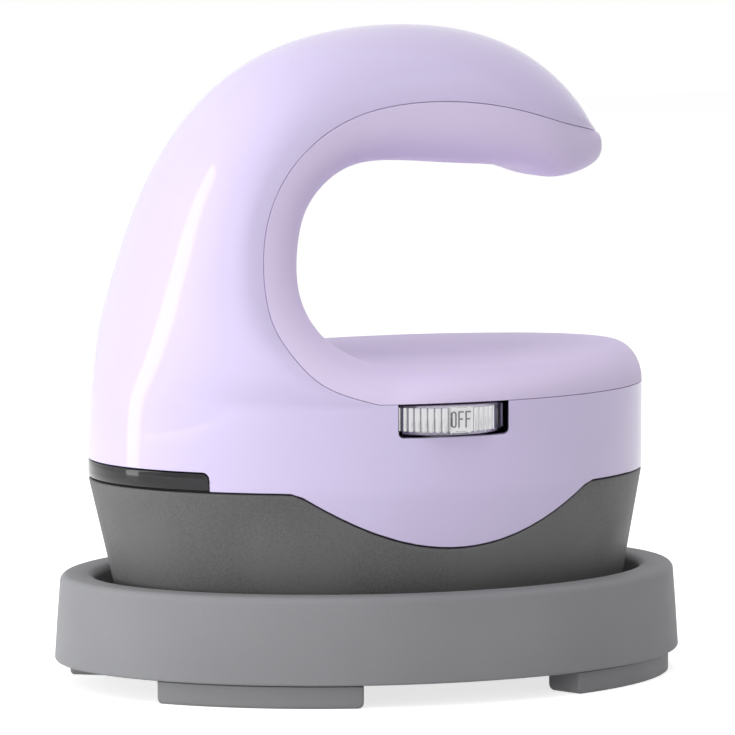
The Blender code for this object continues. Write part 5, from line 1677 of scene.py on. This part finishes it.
@dataclass
class SafetyTray:
    """Oval tray with its four feet and the silicone sheet on its floor."""

    finish: Finish
    foot_finish: Finish
    liner_finish: Finish
    oval: Oval = Oval(0.06807, 0.05337)
    bottom: float = 0.0049
    top: float = 0.0229
    draft: float = 0.0011
    outer_fillet: float = 0.0016
    lower_round: float = 0.0006
    rim: float = 0.0084
    inner_round: float = 0.0018
    inner_draft: float = 0.0010
    floor: float = 0.0032
    floor_fillet: float = 0.0015
    clearance: float = 0.0003
    liner_inset: float = 0.0030
    liner_thickness: float = 0.0018
    foot_inset: float = 0.0018
    foot_width: float = 0.0090
    foot_half_angle: float = math.radians(19.2)
    foot_outer_round: float = 0.0007
    foot_end_round: float = 0.0011
    foot_inner_round: float = 0.0009
    foot_corner: float = 0.0004
    foot_angles: tuple[tuple[str, float], ...] = (
        ("foot_far_rear", 125.6), ("foot_far_front", 51.2), ("foot_near_rear", -125.6), ("foot_near_front", -51.2))
    stud_radius: float = 0.0020
    stud_height: float = 0.0020
    stud_angle: float = math.radians(11.0)
    steps: int = 168

    def loop(self, inset: float, height: float) -> list[tuple[float, float, float]]:
        """A level loop inside the tray's outline."""
        oval = self.oval.shrunk(inset)
        return [(*oval.point(a), height) for a in full_turn(self.steps)]

    def build(self, bench: Workbench) -> None:
        """Build tray, feet and liner.

        Args:
            bench: where the pieces are placed.
        """
        floor_top = self.bottom + self.floor
        rows = []
        for turn in quarter(5):
            rows.append(self.loop(self.lower_round * (1 - math.sin(turn)),
                                  self.bottom + self.lower_round * (1 - math.cos(turn))))
        rows.append(self.loop(self.draft / 2, (self.bottom + self.top) / 2))
        for turn in quarter(8):
            rows.append(self.loop(self.draft + self.outer_fillet * (1 - math.cos(turn)),
                                  self.top - self.outer_fillet * (1 - math.sin(turn))))
        for turn in quarter(5):
            rows.append(self.loop(self.rim - self.inner_round * (1 - math.sin(turn)),
                                  self.top - self.inner_round * (1 - math.cos(turn))))
        for turn in quarter(4):
            rows.append(self.loop(self.rim + self.inner_draft + self.floor_fillet * (1 - math.cos(turn)),
                                  floor_top + self.floor_fillet * (1 - math.sin(turn))))
        draft = MeshDraft()
        draft.stack(rows)
        tray = bench.place(draft, "grey_tray", self.finish, Rider.BASE, "safety_tray", "grey_tray")
        holes = MeshDraft()
        for _, degrees in self.foot_angles:
            self._studs(holes, math.radians(degrees), self.stud_radius + self.clearance, self.bottom - 0.001,
                        self.bottom + self.stud_height + self.clearance)
        bench.carve(tray, holes)
        for name, degrees in self.foot_angles:
            self._foot(bench, name, math.radians(degrees))
        self._liner(bench)

    def _studs(self, draft: MeshDraft, middle: float, radius: float, low: float, high: float) -> None:
        """Add the two upright studs of a foot, or the holes for them.

        Args:
            draft: what they are added to.
            middle: the foot's direction.
            radius: their radius.
            low: their lower end.
            high: their upper end.
        """
        line = self.oval.shrunk(self.foot_inset + self.foot_width / 2)
        for side in (-1, 1):
            x, y = line.point(middle + side * self.stud_angle)
            draft.stack([[(x + radius * math.cos(a), y + radius * math.sin(a), z) for a in full_turn(24)]
                         for z in (low, high)])

    @staticmethod
    def _curl(away: float, radius: float) -> float:
        """How far a rounded edge draws back, at a distance from where it ends."""
        return radius - math.sqrt(radius ** 2 - (radius - away) ** 2) if away < radius else 0.0

    def _foot(self, bench: Workbench, name: str, middle: float) -> None:
        """A block that follows the outline, with rounded ends and a rounded lower edge.

        Args:
            bench: where the piece is placed.
            name: the CAD node that it stands for.
            middle: its direction.
        """
        top, outer_edge, inner_edge = self.bottom - self.clearance, self.foot_outer_round, self.foot_inner_round
        reach, corner = self.foot_half_angle, self.foot_corner
        bend = self.oval.bend(middle)
        aways = sorted(self.foot_end_round * (1 - math.sin(turn)) for turn in quarter(7))
        start = reach - aways[-1] / bend
        line = [(away / bend - reach, away) for away in aways]
        line += [(start * (i / 8 - 1), math.inf) for i in range(1, 16)]
        line += [(reach - away / bend, away) for away in reversed(aways)]
        rows = []
        for offset, away in line:
            drawn, lift = self._curl(away, corner), self._curl(away, self.foot_end_round)
            outer, inner = self.foot_inset + drawn, self.foot_inset + self.foot_width - drawn
            section = [(inner, top), (outer, top)]
            for turn in quarter(4):
                low = lift + outer_edge * (1 - math.sin(turn))
                section.append((outer + outer_edge * (1 - math.cos(turn)), low))
            for turn in quarter(4):
                low = lift + inner_edge * (1 - math.cos(turn))
                section.append((inner - inner_edge * (1 - math.sin(turn)), low))
            rows.append([(*self.oval.shrunk(inset).point(middle + offset), z) for inset, z in section])
        draft = MeshDraft()
        draft.stack(rows)
        foot = bench.place(draft, name + "_pad", self.foot_finish, Rider.BASE, name, "grey_tray",
                           rounding=0.0002)
        studs = MeshDraft()
        self._studs(studs, middle, self.stud_radius, top - 0.001, self.bottom + self.stud_height)
        bench.carve(foot, studs, "UNION")

    def _liner(self, bench: Workbench) -> None:
        """The sheet that the hot plate rests on.

        Args:
            bench: where the piece is placed.
        """
        low = self.bottom + self.floor + self.clearance
        high, inset, soft = low + self.liner_thickness, self.rim + self.inner_draft + self.liner_inset, 0.0004
        rows = [self.loop(inset + soft, low), self.loop(inset, low + soft)]
        for turn in quarter(3):
            rows.append(self.loop(inset + soft * (1 - math.cos(turn)), high - soft * (1 - math.sin(turn))))
        draft = MeshDraft()
        draft.stack(rows)
        bench.place(draft, "silicone_liner", self.liner_finish, Rider.BASE, "tray_liner", "silicone")


@dataclass
class Soleplate:
    """Coated hot plate with a rounded lower edge."""

    finish: Finish
    oval: Oval = Oval(0.0530, 0.0383)
    bottom: float = 0.0105
    thickness: float = 0.0060
    lower_round: float = 0.0012
    upper_round: float = 0.0005
    steps: int = 144

    def build(self, bench: Workbench) -> None:
        """Build the plate.

        Args:
            bench: where the piece is placed.
        """
        rows = []
        top = self.bottom + self.thickness

        def loop(inset: float, height: float) -> None:
            """Add a level loop."""
            oval = self.oval.shrunk(inset)
            rows.append([(*oval.point(a), height) for a in full_turn(self.steps)])

        for turn in quarter(5):
            loop(self.lower_round * (1 - math.sin(turn)), self.bottom + self.lower_round * (1 - math.cos(turn)))
        for turn in quarter(3):
            loop(self.upper_round * (1 - math.cos(turn)), top - self.upper_round * (1 - math.sin(turn)))
        draft = MeshDraft()
        draft.stack(rows)
        bench.place(draft, "coated_soleplate", self.finish, Rider.PRESS, "heating_plate", "coated_aluminium")


@dataclass
class InnerWorks:
    """Everything inside the press that keeps its CAD shape and gets a finish."""

    finishes: Finishes

    def build(self, bench: Workbench) -> None:
        """Dress each inner node.

        Args:
            bench: holds the frame's nodes.
        """
        f = self.finishes
        wear = {
            "heater_sheet": f.mica, "clamp_plate": f.steel, "insulation_pad": f.blanket, "heat_shield": f.steel,
            "thermal_fuse": f.steel, "temperature_probe": f.bead, "control_board": f.board, "relay": f.blue,
            "power_supply": f.yellow, "terminal_block": f.green, "motion_sensor": f.black, "capacitor": f.black,
            "triac_heat_sink": f.sink, "dial_switch": f.black, "lamp_board": f.board, "lamp_bracket": f.steel,
            "lamp_heating": f.red, "lamp_ready": f.ready, "cord_clamp": f.black, "cord_gland": f.black,
            "clamp_screw_front": f.zinc, "clamp_screw_rear": f.zinc, "heater_lead_far": f.lead,
            "heater_lead_near": f.lead,
        }
        for stem, finish in (("plate_post", f.steatite), ("plate_screw", f.zinc), ("body_screw", f.zinc),
                             ("board_screw", f.zinc)):
            for end in ("front", "rear"):
                for side in ("far", "near"):
                    wear[f"{stem}_{end}_{side}"] = finish
        for node, finish in wear.items():
            bench.dress(node, finish)


# The studio


@dataclass
class PhotoCamera:
    """Camera at the photograph's angle and distance."""

    yaw: float = math.radians(24.0)
    pitch: float = math.radians(5.3)
    distance: float = 1.5
    target_height: float = 0.06486
    target_side: float = -0.00025
    lens: float = 349.7

    def build(self) -> None:
        """Create the camera and make it the scene's."""
        ahead = Vector((math.sin(self.yaw) * math.cos(self.pitch), math.cos(self.yaw) * math.cos(self.pitch),
                        -math.sin(self.pitch)))
        aside = Vector((math.cos(self.yaw), -math.sin(self.yaw), 0.0))
        target = aside * self.target_side + Vector((0.0, 0.0, self.target_height))
        data = bpy.data.cameras.new("photo_camera")
        data.lens, data.sensor_width = self.lens, 36.0
        camera = bpy.data.objects.new("photo_camera", data)
        camera.location = target - ahead * self.distance
        camera.rotation_euler = ahead.to_track_quat("-Z", "Y").to_euler()
        bpy.context.scene.collection.objects.link(camera)
        bpy.context.scene.camera = camera
        LOG.info("camera at %s", tuple(round(v, 4) for v in camera.location))


@dataclass(frozen=True)
class SoftBox:
    """One rectangular lamp, placed round the press as the camera sees it."""

    name: str
    turn: float
    height: float
    distance: float
    width: float
    tall: float
    brightness: float
    mirrored: bool = True

    def build(self, yaw: float) -> None:
        """Hang the lamp.

        Args:
            yaw: the camera's yaw, from which the lamp's turn is counted.
        """
        target = Vector((0.0, 0.0, 0.065))
        toward = -yaw - math.pi / 2 + math.radians(self.turn)
        place = Vector((math.cos(toward) * self.distance, math.sin(toward) * self.distance, self.height))
        data = bpy.data.lights.new(self.name, "AREA")
        data.shape, data.size, data.size_y = "RECTANGLE", self.width, self.tall
        data.energy = self.brightness * math.pi * self.width * self.tall
        lamp = bpy.data.objects.new(self.name, data)
        lamp.location = place
        lamp.visible_glossy = self.mirrored
        lamp.rotation_euler = (target - place).to_track_quat("-Z", "Y").to_euler()
        bpy.context.scene.collection.objects.link(lamp)


@dataclass
class Studio:
    """White floor and backdrop with soft lamps."""

    lamps: tuple[SoftBox, ...] = (
        SoftBox("key_box", -90.0, 0.50, 1.30, 1.00, 1.00, 0.22),
        SoftBox("front_box", -15.0, 0.60, 1.30, 1.00, 1.00, 0.60),
        SoftBox("low_box", -60.0, 0.13, 1.30, 1.20, 0.24, 9.5, mirrored=False),
        SoftBox("strip_box", -86.0, 0.17, 0.36, 0.070, 0.34, 3.6),
        SoftBox("top_box", 180.0, 1.40, 0.20, 1.00, 1.00, 1.15, mirrored=False),
        SoftBox("over_box", 0.0, 1.30, 0.70, 1.00, 0.80, 1.85, mirrored=False),
        SoftBox("fill_box", 55.0, 0.90, 1.30, 1.00, 1.00, 0.60),
    )
    ambient: float = 0.27
    floor_glow: float = 0.74
    floor_size: float = 4.0

    def build(self, yaw: float) -> None:
        """Set up world, floor and lamps.

        Args:
            yaw: the camera's yaw.
        """
        self._world()
        self._floor()
        for lamp in self.lamps:
            lamp.build(yaw)
        bpy.context.scene.view_settings.view_transform = "Standard"
        LOG.info("studio with %d lamps", len(self.lamps))

    def _seen(self, tree: bpy.types.NodeTree) -> Socket:
        """1 for camera, mirror and glass rays, 0 for the light that falls on the object.

        Args:
            tree: the node tree to add to.

        Returns:
            The value.
        """
        path = tree.nodes.new("ShaderNodeLightPath")
        first, second = tree.nodes.new("ShaderNodeMath"), tree.nodes.new("ShaderNodeMath")
        first.operation = second.operation = "MAXIMUM"
        tree.links.new(path.outputs["Is Camera Ray"], first.inputs[0])
        tree.links.new(path.outputs["Is Glossy Ray"], first.inputs[1])
        tree.links.new(first.outputs[0], second.inputs[0])
        tree.links.new(path.outputs["Is Transmission Ray"], second.inputs[1])
        return second.outputs[0]

    def _world(self) -> None:
        """A white surround that lights the object softly."""
        world = bpy.data.worlds.new("studio")
        world.use_nodes = True
        tree = world.node_tree
        back = tree.nodes["Background"]
        back.inputs["Color"].default_value = (1.0, 1.0, 1.0, 1.0)
        strength = tree.nodes.new("ShaderNodeMapRange")
        strength.inputs["To Min"].default_value = self.ambient
        strength.inputs["To Max"].default_value = 1.0
        tree.links.new(self._seen(tree), strength.inputs["Value"])
        tree.links.new(strength.outputs["Result"], back.inputs["Strength"])
        bpy.context.scene.world = world

    def _floor(self) -> None:
        """A pale floor that glows for the camera and keeps the object's shadow."""
        half = self.floor_size / 2
        mesh = bpy.data.meshes.new("studio_floor")
        corners = [(-half, -half, 0.0), (half, -half, 0.0), (half, half, 0.0), (-half, half, 0.0)]
        mesh.from_pydata(corners, [], [(0, 1, 2, 3)])
        floor = bpy.data.objects.new("studio_floor", mesh)
        bpy.context.scene.collection.objects.link(floor)
        material = bpy.data.materials.new("studio_white")
        material.use_nodes = True
        tree = material.node_tree
        shader = tree.nodes["Principled BSDF"]
        shader.inputs["Base Color"].default_value = (0.80, 0.80, 0.80, 1.0)
        shader.inputs["Roughness"].default_value = 0.9
        shader.inputs["Specular IOR Level"].default_value = 0.0
        glow, both = tree.nodes.new("ShaderNodeEmission"), tree.nodes.new("ShaderNodeAddShader")
        scaled = tree.nodes.new("ShaderNodeMath")
        scaled.operation = "MULTIPLY"
        scaled.inputs[1].default_value = self.floor_glow
        tree.links.new(self._seen(tree), scaled.inputs[0])
        tree.links.new(scaled.outputs[0], glow.inputs["Strength"])
        tree.links.new(shader.outputs[0], both.inputs[0])
        tree.links.new(glow.outputs[0], both.inputs[1])
        tree.links.new(both.outputs[0], tree.nodes["Material Output"].inputs["Surface"])
        mesh.materials.append(material)


def main() -> None:
    """Load the frame, build every sub-assembly in order and set up the studio."""
    logging.basicConfig(level=logging.INFO, format="%(name)s: %(message)s")
    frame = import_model()
    bench = Workbench(frame)
    finishes = Finishes()
    form = PressForm()
    SafetyTray(finishes.tray, finishes.foot, finishes.liner).build(bench)
    Soleplate(finishes.soleplate).build(bench)
    DarkSkirt(form, finishes.skirt).build(bench)
    shell = OuterShell(form, finishes.shell)
    shell.build(bench)
    InnerCover(form, finishes.cover).build(bench)
    IndicatorWindow(form, finishes.window, shell).build(bench)
    DialWheel(finishes.dial, finishes.mark, finishes.steel).build(bench)
    InnerWorks(finishes).build(bench)
    camera = PhotoCamera()
    camera.build()
    Studio().build(camera.yaw)
    bpy.context.view_layer.update()
    LOG.info("%d pieces made or dressed", len(bench.made))


if __name__ == "__main__":
    main()
